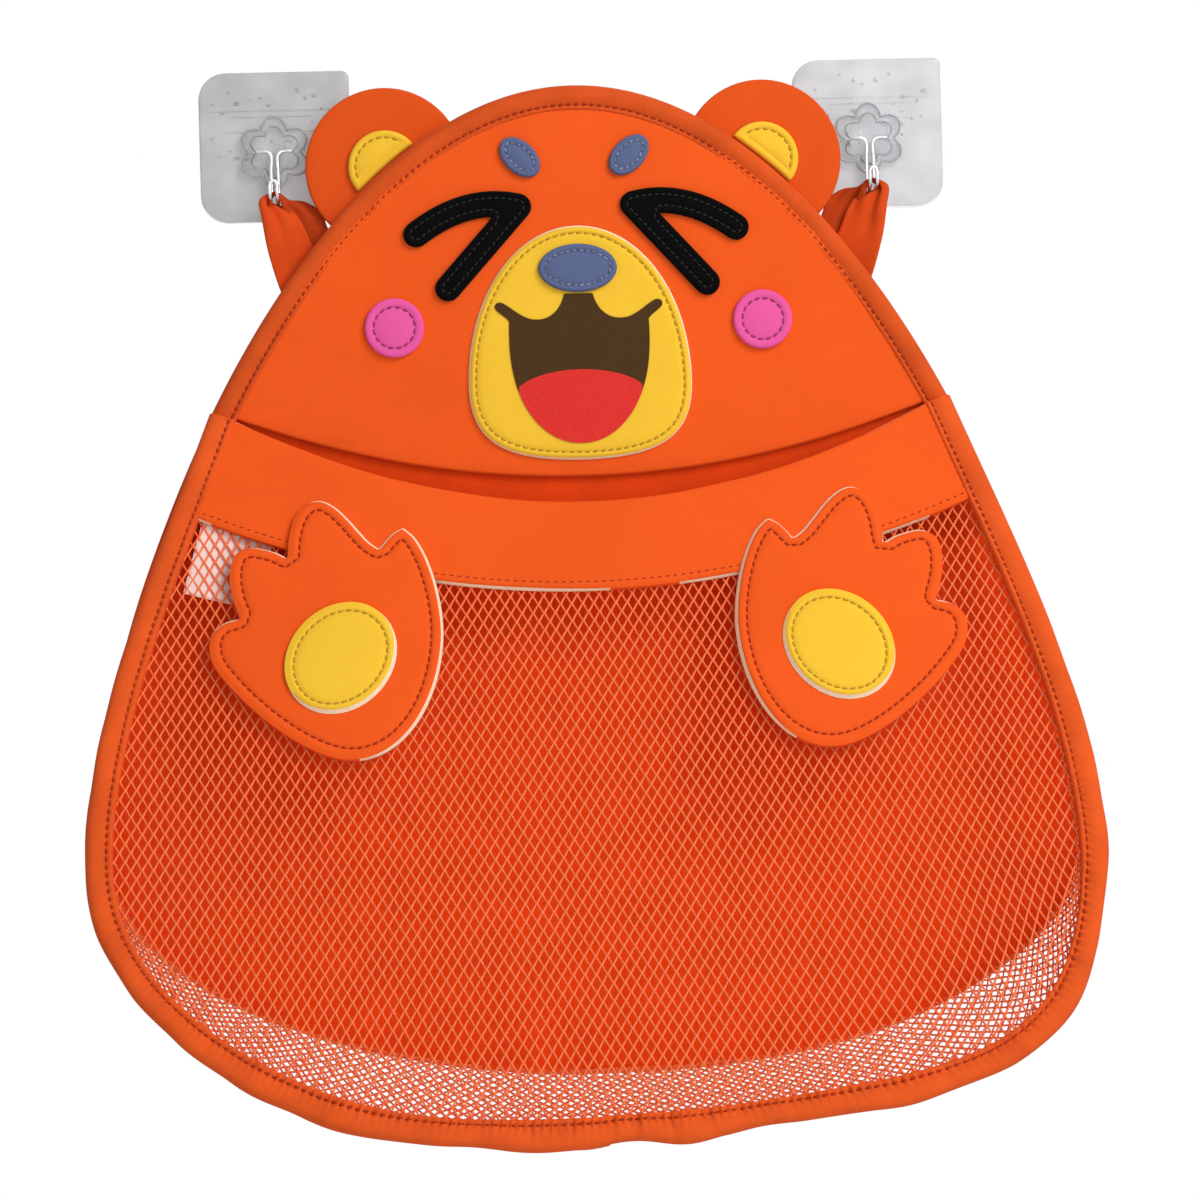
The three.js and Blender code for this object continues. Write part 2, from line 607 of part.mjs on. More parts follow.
// The wall between the front's edge and the back panel's edge, which widens towards the base.
function gusset() {
  const rails = [[frontSkirt, GUSSET_FRONT_INSET], [backSkirt, GUSSET_BACK_INSET]].map(([line, inset]) =>
    [inset, inset + GUSSET_THICK].map((distance) => offset(line, distance)));
  const rings = [];
  frontSkirt.forEach((p, i) => {
    if (p.y > -SHOULDER_DROP - GUSSET_START) return;
    const onFront = rails[0].map((line) => {
      const flat = lean(line[i]);
      return new THREE.Vector3(flat.x, flat.y, -2 * GAP - TAPE).applyMatrix4(front.matrix);
    });
    const onBack = rails[1].map((line) => new THREE.Vector3(line[i].x, line[i].y, headOut));
    rings.push([onFront[0], onFront[1], onBack[1], onBack[0]]);
  });
  return loft(rings);
}

// Paws: a cut-out with four toes, its points as shares of its height, and a round pad.
function pawOutline() {
  const xy = (x, y) => at(x * PAW_TALL, y * PAW_TALL);
  const curves = [
    bezier(xy(-0.166, 0.306), xy(-0.166, 0.426), xy(-0.135, 0.53), xy(-0.046, 0.532), 5),
    bezier(xy(-0.046, 0.532), xy(0.046, 0.522), xy(0.124, 0.368), xy(0.186, 0.344), 5),
    bezier(xy(0.186, 0.344), xy(0.215, 0.38), xy(0.245, 0.42), xy(0.279, 0.426), 3),
    bezier(xy(0.279, 0.426), xy(0.368, 0.387), xy(0.441, 0.155), xy(0.437, 0), 6),
    bezier(xy(0.437, 0), xy(0.43, -0.24), xy(0.3, -0.468), xy(0.09, -0.468), 7),
    bezier(xy(0.09, -0.468), xy(-0.07, -0.468), xy(-0.329, -0.271), xy(-0.437, -0.116), 6),
    bezier(xy(-0.437, -0.116), xy(-0.488, -0.019), xy(-0.449, 0.062), xy(-0.346, 0.074), 5),
    bezier(xy(-0.346, 0.074), xy(-0.402, 0.186), xy(-0.41, 0.341), xy(-0.31, 0.348), 5),
    bezier(xy(-0.31, 0.348), xy(-0.248, 0.344), xy(-0.2, 0.33), xy(-0.166, 0.306), 3),
  ];
  return curves.flatMap((points) => points.slice(1));
}

function paws() {
  for (const [side, sign] of SIDES) {
    const settle = (points) => {
      const middle = at(-PAW_ACROSS / 2, -PAW_DROP);
      const turned = points.map((p) => p.clone().rotateAround(at(0, 0), PAW_TURN).add(middle));
      return (sign < 0 ? turned : mirrored(turned)).map(lean);
    };
    place(front, `paw_${side}`, sheet(settle(pawOutline()), pawOut, FOAM), orange);
    const pad = settle(ellipse(PAD, PAD_TURN, PAD_PLACE.x, PAD_PLACE.y));
    place(front, `paw_pad_${side}`, sheet(pad, padOut, PATCH), yellow);
  }
}

SIDES.forEach(([side, sign]) => hook(side, sign));
head();
face();
bag();
paws();

export default part;
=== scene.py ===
"""Bath toy organizer: a bear-shaped bag of neoprene and net that hangs on two clear adhesive wire hooks."""

import functools
import math
import random

import bmesh
import bpy
from bpy.props import FloatProperty, FloatVectorProperty, PointerProperty
from mathutils import Matrix, Vector, kdtree, noise
from mathutils.geometry import interpolate_bezier


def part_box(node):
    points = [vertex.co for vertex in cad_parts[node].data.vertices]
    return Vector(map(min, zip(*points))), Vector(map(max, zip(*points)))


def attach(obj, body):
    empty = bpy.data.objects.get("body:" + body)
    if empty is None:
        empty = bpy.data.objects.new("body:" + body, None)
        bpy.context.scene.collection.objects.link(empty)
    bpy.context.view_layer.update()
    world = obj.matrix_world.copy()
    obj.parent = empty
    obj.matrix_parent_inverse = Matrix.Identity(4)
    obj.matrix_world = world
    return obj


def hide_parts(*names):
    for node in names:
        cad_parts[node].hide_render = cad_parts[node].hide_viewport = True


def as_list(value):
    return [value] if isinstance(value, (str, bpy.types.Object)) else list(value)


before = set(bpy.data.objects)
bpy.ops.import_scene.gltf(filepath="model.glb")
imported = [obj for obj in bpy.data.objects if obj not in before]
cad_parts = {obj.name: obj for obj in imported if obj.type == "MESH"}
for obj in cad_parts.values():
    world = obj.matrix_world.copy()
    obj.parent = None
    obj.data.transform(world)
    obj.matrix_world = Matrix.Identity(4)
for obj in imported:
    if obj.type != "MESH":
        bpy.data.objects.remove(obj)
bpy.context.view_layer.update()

bl_info = {
    "name": "Bath toy organizer",
    "version": (1, 0, 0),
    "blender": (4, 5, 0),
    "location": "View3D > Sidebar > Organizer",
    "description": "Dresses a bath toy organizer: sewn patches, nets, folded tape, straps and clear hooks",
    "category": "Object",
}

MM = 0.001
BAG = "bag"
HOOKS = "wall_hooks"
SIDES = (("left", -1), ("right", 1))
UP = Vector((0, 0, 1))
ACROSS = Vector((1, 0, 0))
OUT = Vector((0, -1, 0))


def colour(name, text, code):
    """A colour that a user would change, given as a web colour."""
    parts = [int(code[i : i + 2], 16) / 255 for i in (1, 3, 5)]
    linear = [c / 12.92 if c <= 0.04045 else ((c + 0.055) / 1.055) ** 2.4 for c in parts]
    return FloatVectorProperty(name=name, description=text, default=linear, subtype="COLOR", min=0, max=1)


def length(name, text, millimetres):
    """A length that a user would change."""
    return FloatProperty(name=name, description=text, default=millimetres * MM, unit="LENGTH", precision=5)


class OrganizerColours(bpy.types.PropertyGroup):
    orange: colour("Orange neoprene", "Head, ears, chest band and paws", "#EA581E")
    tape: colour("Binding tape", "Folded tape round the edges", "#DF5721")
    ribbon: colour("Strap ribbon", "Hanging straps", "#D44A18")
    lining: colour("Lining", "Back panel", "#F34A11")
    net: colour("Net thread", "Front net and the net wall", "#FF7B49")
    yellow: colour("Yellow neoprene", "Muzzle, inner ears and paw pads", "#EFBE36")
    slate: colour("Slate neoprene", "Brows and nose", "#59658A")
    black: colour("Black neoprene", "Eyes", "#070606")
    pink: colour("Pink neoprene", "Cheeks", "#E45A9E")
    foam: colour("Cut foam", "Pale cut edge of the neoprene", "#F6DDBC")
    mouth: colour("Mouth print", "Brown print on the muzzle", "#4A331B")
    tongue: colour("Tongue print", "Red print on the muzzle", "#D8342F")
    label: colour("Label", "Blank woven tab", "#EBD5D0")
    # The two films' tints differ: the left one is darker as painted shade, the right one lighter as painted
    # light
    film_left: colour("Left hook film", "Clear adhesive plate on the left", "#CDCECF")
    film_right: colour("Right hook film", "Clear adhesive plate on the right", "#E0E1E3")


class OrganizerSizes(bpy.types.PropertyGroup):
    chord: length("Chord", "Length of the chords along a curved outline", 1.6)
    stitch_pitch: length("Stitch pitch", "Distance from stitch to stitch", 3.1)
    stitch_long: length("Stitch length", "Length of one stitch", 2.5)
    stitch_thick: length("Stitch thickness", "Thickness of the sewing thread", 0.95)
    net_wide: length("Net cell width", "Width of one gap of the net", 4.3)
    net_tall: length("Net cell height", "Height of one gap of the net", 6.9)
    net_thread: length("Net thread", "Thickness of the net's thread", 1.2)
    head_swell: length("Head swell", "How far the head panel stands out in its middle", 2.5)
    view_distance: length("View distance", "From the wall to the camera", 1300)
    view_width: length("View width", "Width of the wall that the camera sees", 480)


def sizes():
    return bpy.context.scene.organizer_sizes


def colours():
    return bpy.context.scene.organizer_colours


# Lines and planes
def pairs(ring):
    """Each item of a closed ring with the next."""
    return zip(ring, ring[1:] + ring[:1])


def area_of(loop, facing):
    """The area of a flat closed line, below zero where it runs clockwise."""
    return sum((a.cross(b) for a, b in pairs(loop)), Vector()).dot(facing) / 2


def rise_of(facing):
    """The way up a leaning plane."""
    return (UP - facing * UP.dot(facing)).normalized()


def inward(loop, i, facing):
    """The way in from a point of a closed line that runs anticlockwise."""
    return facing.cross((loop[(i + 1) % len(loop)] - loop[i - 1]).normalized())


def corners_of(node):
    """The lowest and the highest corner of a node's box."""
    return [Vector(corner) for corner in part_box(node)]


# Outlines, read from the solids that the pieces stand for
def solid_of(node):
    """A node's mesh with its corners joined."""
    bm = bmesh.new()
    bm.from_mesh(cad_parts[node].data)
    bmesh.ops.remove_doubles(bm, verts=bm.verts, dist=1e-6)
    return bm


def front_faces(node, broadest=False):
    """A node's foremost faces, or its broadest ones, as a mesh of their own, with their facing and depth."""
    bm = solid_of(node)
    bm.normal_update()
    broad = max((f for f in bm.faces if f.normal.y < -0.5), key=lambda f: f.calc_area())
    facing = broad.normal.copy()
    lowest = min(v.co.dot(facing) for v in bm.verts)
    highest = max(v.co.dot(facing) for v in bm.verts)
    height = broad.calc_center_median().dot(facing) if broadest else highest
    flat = 0.05 * MM
    others = []
    for f in bm.faces:
        if f.normal.dot(facing) < 0.99 or abs(f.calc_center_median().dot(facing) - height) > flat:
            others.append(f)
    bmesh.ops.delete(bm, geom=others, context="FACES")
    return bm, facing, height - lowest


def outline(node, broadest=False):
    """The longest edge line of a node's front, anticlockwise, with the front's facing and depth."""
    bm, facing, depth = front_faces(node, broadest)
    bm.edges.index_update()
    left = {e.index: e for e in bm.edges if e.is_boundary}
    loops = []
    while left:
        edge = left.pop(min(left))
        first, last = edge.verts
        loop = [first.co.copy()]
        while last is not first:
            loop.append(last.co.copy())
            edge = next(e for e in last.link_edges if e.index in left)
            del left[edge.index]
            last = edge.other_vert(last)
        loops.append(loop)
    bm.free()
    loop = max(loops, key=run)
    return (loop if area_of(loop, facing) > 0 else loop[::-1]), facing, depth


def run(line):
    return sum((b - a).length for a, b in zip(line, line[1:]))


def is_corner(before, here, after, limit=0.7):
    way_in = here - before
    way_out = after - here
    return way_in.length > 0 and way_out.length > 0 and way_in.angle(way_out) > limit


def thinned(line, least):
    """The points of a line that lie at least so far from the one before."""
    kept = [line[0]]
    for p in line[1:-1]:
        if (p - kept[-1]).length > least and (p - line[-1]).length > least:
            kept.append(p)
    return [*kept, line[-1]]


def rounded(line, closed=True):
    """A line with short chords through the points given: smooth, but for its corners."""
    chord = sizes().chord
    line = thinned(line, chord / 3)
    count = len(line)
    points = []
    for i in range(count if closed else count - 1):
        before, start, end, after = (line[(i + k) % count] for k in (-1, 0, 1, 2))
        straight = end - start
        leave = straight if is_corner(before, start, end) else end - before
        arrive = straight if is_corner(start, end, after) else after - start
        if not closed and i == 0:
            leave = straight
        if not closed and i == count - 2:
            arrive = straight
        pull = straight.length / 3
        steps = max(2, round(straight.length / chord) + 1)
        handles = (start + leave.normalized() * pull, end - arrive.normalized() * pull)
        points += interpolate_bezier(start, *handles, end, steps)[:-1]
    return points if closed else points + [line[-1].copy()]


def evenly(line, count):
    """Points at equal distances along an open line."""
    whole = run(line)
    points = []
    done = 0.0
    k = 0
    for i in range(count):
        want = whole * i / (count - 1)
        while k < len(line) - 2 and done + (line[k + 1] - line[k]).length < want:
            done += (line[k + 1] - line[k]).length
            k += 1
        piece = (line[k + 1] - line[k]).length
        points.append(line[k].lerp(line[k + 1], min(1, (want - done) / piece if piece else 0)))
    return points


def sides_of(node):
    """A node's front outline cut at its corners: open lines, the longest first, with the facing and depth."""
    loop, facing, depth = outline(node)
    count = len(loop)
    corners = [i for i in range(count) if is_corner(loop[i - 1], loop[i], loop[(i + 1) % count])]
    lines = []
    for a, b in zip(corners, corners[1:] + [corners[0] + count]):
        lines.append([loop[i % count] for i in range(a, b + 1)])
    lines.sort(key=run, reverse=True)
    return lines, facing, depth


def from_left(line):
    return line if line[0].x < line[-1].x else line[::-1]


def within(point, polygon):
    """Whether a point lies inside a closed line, both seen from the front."""
    odd = False
    for a, b in pairs(polygon):
        if (a.z > point.z) != (b.z > point.z):
            if point.x < a.x + (point.z - a.z) / (b.z - a.z) * (b.x - a.x):
                odd = not odd
    return odd


# How the cloth of the head and of the pocket stands out of its plane
HEAD_WIDE = 0.135
HEAD_TALL = 0.072
HEAD_RIPPLE = 0.35 * MM
RIPPLE_PACE = 18
POCKET = Vector((0, 0, -0.25))
# Where the filled pocket pushes the front's lower edge out and how far, and the width and height of each push
RIGHT_CORNER = (0.148, -0.345, 15 * MM)
LEFT_BELLY = (-0.085, -0.38, 6 * MM)
PUSH_WIDE = 0.057
PUSH_TALL = 0.043
# How far the back panel's edge is drawn out, in millimetres: below, more at the lower right, and at the left
BACK_LOW = 8
BACK_RIGHT = 5
BACK_LEFT = 6


@functools.cache
def middle_of(node):
    low, high = corners_of(node)
    return (low + high) / 2


def head_swell(point):
    middle = middle_of("head_panel")
    reach = Vector(((point.x - middle.x) / HEAD_WIDE, 0, (point.z - middle.z) / HEAD_TALL))
    crown = max(0.0, 1 - reach.length_squared) ** 1.5
    ripple = noise.noise(Vector((point.x, 0.4, point.z)) * RIPPLE_PACE)
    return OUT * (sizes().head_swell * crown + HEAD_RIPPLE * ripple * crown)


def still(_point):
    return Vector()


@functools.cache
def front_rise():
    return rise_of(outline("lower_binding")[1])


def eased(low, high, value):
    """From 0 at one value to 1 at another, smoothly."""
    share = min(1.0, max(0.0, (value - low) / (high - low)))
    return share * share * (3 - 2 * share)


def corner_fill(point):
    """How far the filled pocket pushes the front's lower edge out."""
    across, drop, reach = RIGHT_CORNER if point.x > 0 else LEFT_BELLY
    near = math.exp(-(((point.x - across) / PUSH_WIDE) ** 2) - ((point.z - drop) / PUSH_TALL) ** 2)
    away = (point - POCKET).normalized()
    return (ACROSS * away.x + front_rise() * away.z) * reach * near


def back_fill(point):
    """How far the back panel's edge is drawn out towards the tape, between places given in metres."""
    away = Vector((point.x, 0, point.z - POCKET.z))
    right = eased(0.0, 0.12, point.x) * eased(-0.24, -0.32, point.z)
    low = eased(-0.17, -0.31, point.z) * (BACK_LOW + BACK_RIGHT * right)
    left = BACK_LEFT * eased(-0.08, -0.15, point.x) * math.exp(-(((point.z + 0.22) / 0.06) ** 2))
    share = eased(0.0, 0.12, away.length)
    return away.normalized() * math.hypot(low, left) * MM * share


# Materials
def material(name, build):
    """A named material, made once."""
    made = bpy.data.materials.get(name)
    if made is None:
        made = bpy.data.materials.new(name)
        made.use_nodes = True
        build(made.node_tree, made.node_tree.nodes["Principled BSDF"])
    return made


def put(node, **sockets):
    """Sets a node's inputs, which are named with _ for each space."""
    for socket, value in sockets.items():
        node.inputs[socket.replace("_", " ")].default_value = value


def texture(tree, kind, scale, **sockets):
    """A texture node on Object coordinates, with a scale in cycles a metre."""
    place = tree.nodes.new("ShaderNodeTexCoord")
    node = tree.nodes.new(kind)
    tree.links.new(place.outputs["Object"], node.inputs["Vector"])
    put(node, Scale=scale, **sockets)
    return node


def speckle(tree, scale, **sockets):
    """The value of a noise."""
    return texture(tree, "ShaderNodeTexNoise", scale, **sockets).outputs["Fac"]


def combined(tree, operation, *terms):
    """What a math node makes of sockets and numbers."""
    node = tree.nodes.new("ShaderNodeMath")
    node.operation = operation
    for socket, term in zip(node.inputs, terms):
        if isinstance(term, float):
            socket.default_value = term
        else:
            tree.links.new(term, socket)
    return node.outputs[0]


def shade(tree, shader, factor, tint, dark, light):
    """Colours a shader between a darker and a lighter shade of a tint."""
    ramp = tree.nodes.new("ShaderNodeValToRGB")
    for stop, position, share in zip(ramp.color_ramp.elements, (0.3, 0.7), (dark, light)):
        stop.position = position
        stop.color = (*(min(1, c * share) for c in tint), 1)
    tree.links.new(factor, ramp.inputs["Fac"])
    tree.links.new(ramp.outputs["Color"], shader.inputs["Base Color"])


def roughen(tree, shader, height, distance, strength=0.6):
    bump = tree.nodes.new("ShaderNodeBump")
    put(bump, Distance=distance, Strength=strength)
    tree.links.new(height, bump.inputs["Height"])
    tree.links.new(bump.outputs["Normal"], shader.inputs["Normal"])


def surface(tint, scale, shades, relief=0.0, strength=0.6, detail=2.0, **sockets):
    """A surface whose tint and relief vary with one noise."""
    def build(tree, shader):
        grain = speckle(tree, scale, Detail=detail)
        shade(tree, shader, grain, tint, *shades)
        if relief:
            roughen(tree, shader, grain, relief, strength)
        put(shader, **sockets)
    return build


# The knit's close grain and its cloudy shades, in cycles a metre
GRAIN = 1500
CLOUDS = 22


def knit(tint):
    """The fine knitted face of neoprene: a close grain, and cloudy shades where it was handled."""
    def build(tree, shader):
        grain = speckle(tree, GRAIN, Detail=2.0, Roughness=0.6)
        cloud = speckle(tree, CLOUDS, Detail=3.0, Roughness=0.6)
        mix = combined(tree, "MULTIPLY_ADD", grain, 0.4, combined(tree, "MULTIPLY", cloud, 0.6))
        shade(tree, shader, mix, tint, 0.93, 1.05)
        roughen(tree, shader, grain, 0.15 * MM)
        put(shader, Roughness=0.82, Sheen_Weight=0.02, Sheen_Roughness=0.5, Specular_IOR_Level=0.04)
    return build


def weave(tint, pitch):
    """Woven cloth: two crossing sets of threads."""
    def build(tree, shader):
        sets = []
        for way in ("DIAGONAL", "Z"):
            wave = texture(tree, "ShaderNodeTexWave", 0.32 / pitch, Distortion=0.6, Detail=1.0)
            wave.bands_direction = way
            sets.append(wave.outputs["Fac"])
        shade(tree, shader, speckle(tree, 60, Detail=4.0), tint, 0.9, 1.07)
        roughen(tree, shader, combined(tree, "MULTIPLY", *sets), 0.12 * MM, 0.5)
        put(shader, Roughness=0.8, Sheen_Weight=0.03, Specular_IOR_Level=0.06)
    return build


def thread(tint, dark=0.8):
    """Twisted thread."""
    return surface(tint, 900, (dark, 1.05), 0.1 * MM, Roughness=0.6, Specular_IOR_Level=0.15)


def cut_foam(tint):
    """The pale, slightly open edge of cut foam."""
    return surface(tint, 1100, (0.88, 1.06), 0.2 * MM, detail=3.0, Roughness=0.9)


def clear_film(tint):
    """Clear adhesive film with small bubbles under it."""
    def build(tree, shader):
        bubbles = texture(tree, "ShaderNodeTexVoronoi", 160, Randomness=1.0).outputs["Distance"]
        shade(tree, shader, speckle(tree, 70, Detail=4.0), tint, 0.86, 1.03)
        roughen(tree, shader, bubbles, 0.3 * MM, 0.25)
        put(shader, Roughness=0.22, Transmission_Weight=0.55, IOR=1.35)
    return build


def clear_boss(tint, through=0.85, bend=1.12, dull=0.08):
    """Moulded clear plastic, with how much shows through and how strongly it bends what does."""
    look = {"Roughness": dull, "Transmission_Weight": through, "IOR": bend}
    return surface(tint, 120, (0.92, 1.05), 0.4 * MM, 0.2, **look)


def bright_wire(tint):
    """Drawn, plated wire."""
    return surface(tint, 700, (0.9, 1.08), Metallic=1.0, Roughness=0.14)


def printed(tint):
    """A flat print on the knit."""
    return surface(tint, GRAIN, (0.9, 1.08), 0.15 * MM, Roughness=0.75, Specular_IOR_Level=0.05)


def darker(tint, share):
    return tuple(share * part for part in tint)


def finishes():
    """Every finish by its name: the material and the record's slot."""
    c = colours()
    rows = [
        # The ears' orange, darkened as painted shade where they sit behind the head
        ("painted_shade_orange", knit(darker(c.orange, 0.86)), "orange_neoprene"),
        ("tape", weave(c.tape, 0.55 * MM), "binding_tape"),
        # The head's tape: the same tape darkened as painted shade
        ("rim_tape_painted_shade", weave(darker(c.tape, 0.87), 0.55 * MM), "binding_tape"),
        ("ribbon", weave(c.ribbon, 0.4 * MM), "strap_ribbon"),
        # The strap's inner leg: the ribbon darkened as painted shade
        ("ribbon_painted_shade", weave(darker(c.ribbon, 0.7), 0.4 * MM), "strap_ribbon"),
        ("lining", weave(c.lining, 0.5 * MM), "lining"),
        # The lining's top: darkened as painted shade under the head
        ("lining_painted_shade", weave(darker(c.lining, 0.8), 0.5 * MM), "lining"),
        ("net", thread(c.net, 0.85), "net_thread"),
        ("foam", cut_foam(c.foam), "orange_neoprene"),
        ("label", weave(c.label, 0.9 * MM), "white_ribbon"),
        ("boss", clear_boss((0.93, 0.94, 0.95)), "clear_plastic"),
        ("ridge", clear_boss((0.56, 0.57, 0.59), 0.45, 1.2, 0.3), "clear_plastic"),
        ("wire", bright_wire((0.72, 0.73, 0.74)), "hook_wire"),
        ("orange_thread", thread((0.36, 0.03, 0.005)), "orange_neoprene"),
        ("yellow_thread", thread(darker(c.yellow, 0.6)), "yellow_neoprene"),
        ("slate_thread", thread((0.26, 0.3, 0.42), 0.3), "slate_neoprene"),
        ("black_thread", thread((0.012, 0.011, 0.012)), "black_neoprene"),
        ("pink_thread", thread(darker(c.pink, 0.42)), "pink_neoprene"),
    ]
    for look in ("orange", "yellow", "slate", "black", "pink"):
        rows.append((look, knit(getattr(c, look)), f"{look}_neoprene"))
    for look in ("mouth", "tongue"):
        rows.append((look, printed(getattr(c, look)), "yellow_neoprene"))
    # Each side's film has its own tint: painted shade on the left, painted light on the right
    for look in ("film_left", "film_right"):
        rows.append((look, clear_film(getattr(c, look)), "clear_plastic"))
    return {look: (material(f"{look}_finish", build), slot) for look, build, slot in rows}


def placed(name, data):
    """An object in the scene."""
    made = bpy.data.objects.new(name, data)
    bpy.context.collection.objects.link(made)
    return made


def finish_piece(name, bm, looks, body=BAG, nodes=(), swell=still, sharp=35):
    """Turns a mesh under construction into a piece of the object that rides on a body."""
    for v in bm.verts:
        v.co += swell(v.co)
    mesh = bpy.data.meshes.new(name)
    bm.to_mesh(mesh)
    bm.free()
    mesh.shade_smooth()
    mesh.set_sharp_from_angle(angle=math.radians(sharp))
    piece = placed(name, mesh)
    known = finishes()
    for look in looks:
        mesh.materials.append(known[look][0])
    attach(piece, body)
    if nodes:
        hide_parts(*nodes)
    return piece


# Sewn patches
# A patch's section from its edge inwards, as inset and height in millimetres: its rim, and its seam's trough
RIM = ((0.5, -0.2), (1.1, 0.0))
TROUGH = ((-0.8, 0.0), (0.0, -0.6), (1.0, -0.1), (2.4, 0.1))
RIM_DROP = 0.7 * MM
FEWEST_POINTS = 40
FEWEST_KEPT = 12
CUT_SHOWS = 0.3 * MM
GRID = 6 * MM
# The cut edge that shows: its usual share, how much and how often it wanders, and how it follows its way
BARE_USUAL = 0.5
BARE_WANDERS = 0.8
BARE_PACE = 22
BARE_FOLLOWS = 0.85
# How a stitch is turned from its seam, and how much of its thickness is sunk in the cloth
STITCH_SLANT = 0.12
STITCH_SUNK = 0.35


def grid_cut(bm, faces, facing, pitch):
    """Cuts flat faces into a grid, so that they can follow a swell."""
    rise = rise_of(facing)
    for way in (rise.cross(facing), rise):
        heights = [v.co.dot(way) for f in faces for v in f.verts]
        count = int((max(heights) - min(heights)) / pitch)
        for i in range(1, count):
            height = min(heights) + (max(heights) - min(heights)) * i / count
            parts = list(dict.fromkeys(part for f in faces for part in (f, *f.edges, *f.verts)))
            cut = bmesh.ops.bisect_plane(bm, geom=parts, dist=1e-7, plane_co=way * height, plane_no=way)
            faces = [g for g in dict.fromkeys(cut["geom"]) if isinstance(g, bmesh.types.BMFace)]


def bridge(bm, low, high):
    """Faces between two rings of as many points each."""
    return [bm.faces.new((a, b, d, c)) for (a, b), (c, d) in zip(pairs(low), pairs(high))]


def patch(name, node, looks, sewn=None, cut=0.0, swell=still, pitch=GRID, body=BAG, bare=None, grow=0.0):
    """A patch cut from sheet: a cut edge, a rounded rim and, where it is sewn down, a trough along the seam.

    `sewn` is the seam's distance from the edge, `cut` how much of the cut edge shows and `grow` how far the
    cloth spreads past the solid's outline, in millimetres. `bare` is the way that most of the cut edge looks.
    Returns the piece, its outline and the way that it faces.
    """
    loop, facing, depth = outline(node)
    loop = rounded(loop)
    closed = loop + loop[:1]
    loop = evenly(closed, max(FEWEST_POINTS, int(run(closed) / MM)))[:-1]
    if grow:
        spread = seam_line(loop, facing, -grow * MM)
        loop = evenly(spread + spread[:1], len(loop) + 1)[:-1]
    bm = bmesh.new()
    base = [bm.verts.new(p - facing * depth) for p in loop]
    edge = bared(loop, facing, cut, bare or Vector())
    top = [bm.verts.new(p - facing * RIM_DROP) for p in edge]
    bm.faces.new(base)
    walls = bridge(bm, base, top)
    profile = [(inset + cut, height) for inset, height in RIM]
    if sewn:
        profile += [(sewn + inset, height) for inset, height in TROUGH]
    broad = area_of(loop, facing) / run(loop)
    for inset, height in profile:
        kept, line = inner_line(loop, facing, inset * MM)
        if kept < FEWEST_KEPT or inset * MM > broad:
            break
        higher = [bm.verts.new(p + facing * height * MM) for p in line]
        bridge(bm, top, higher)
        top = higher
    for f, p, q in zip(walls, loop, edge):
        f.material_index = len(looks) - 1 if (p - q).length > CUT_SHOWS else 0
    bmesh.ops.remove_doubles(bm, verts=bm.verts, dist=1e-6)
    rim = [e for e in bm.edges if e.is_boundary]
    face = bmesh.ops.contextual_create(bm, geom=rim)["faces"]
    bmesh.ops.recalc_face_normals(bm, faces=bm.faces)
    grid_cut(bm, face, facing, pitch)
    piece = finish_piece(name, bm, looks, body, [node], swell, sharp=50)
    return piece, loop, facing


def bared(loop, facing, cut, bare):
    """An outline drawn in here and there, so that the pale cut edge shows outside it."""
    points = []
    for i, p in enumerate(loop):
        inner = inward(loop, i, facing)
        chance = BARE_USUAL + BARE_WANDERS * noise.noise(p * BARE_PACE) - BARE_FOLLOWS * inner.dot(bare)
        points.append(p + inner * MM * (0.1 + cut * min(1.0, max(0.0, chance))))
    return points


def inner_line(loop, facing, inset):
    """How many points of an outline keep their distance when they move inwards, and where each one goes."""
    count = len(loop)
    tree = kdtree.KDTree(count)
    for i, p in enumerate(loop):
        tree.insert(p, i)
    tree.balance()
    moved = {}
    for i, p in enumerate(loop):
        inner = p + inward(loop, i, facing) * inset
        if tree.find(inner)[2] > 0.97 * abs(inset):
            moved[i] = inner

    def nearest(i):
        return min(moved, key=lambda k: min((i - k) % count, (k - i) % count))

    gathered = [moved[i if i in moved else nearest(i)] for i in range(count) if moved]
    return len(moved), gathered


def seam_line(loop, facing, inset):
    """The line inside a closed outline that keeps its distance from it."""
    line = inner_line(loop, facing, inset)[1]
    return [p for i, p in enumerate(line) if (p - line[i - 1]).length > 1e-6]


def sew(name, line, facing, look, closed=True, swell=still, pitch=None):
    """Stitches along a line: short lengths of thread, each dipping into the cloth at its ends."""
    s = sizes()
    path = line + line[:1] if closed else line
    count = max(2, round(run(path) / (pitch or s.stitch_pitch)))
    points = evenly(path, 2 * count + 1)
    slant = Matrix.Rotation(STITCH_SLANT, 4, "Z")
    size = Matrix.Diagonal((s.stitch_long / 2, s.stitch_thick / 2, s.stitch_thick / 2, 1))
    bm = bmesh.new()
    for i in range(count):
        start, middle, end = points[2 * i : 2 * i + 3]
        along = (end - start).normalized()
        turn = Matrix((along, facing.cross(along), facing)).transposed().to_4x4()
        place = Matrix.Translation(middle - facing * s.stitch_thick * STITCH_SUNK) @ turn @ slant @ size
        bmesh.ops.create_uvsphere(bm, u_segments=6, v_segments=4, radius=1, matrix=place)
    return finish_piece(name, bm, [look], swell=swell, sharp=80)


def sewn_patch(name, node, looks, thread_look, inset, cut, swell=still, pitch=None, **ways):
    """A patch and the stitches that hold it, so many millimetres from its edge."""
    _, loop, facing = patch(name, node, looks, inset, cut, swell, **ways)
    seam = seam_line(loop, facing, inset * MM)
    sew(f"{node}_stitches", seam, facing, thread_look, swell=swell, pitch=pitch)


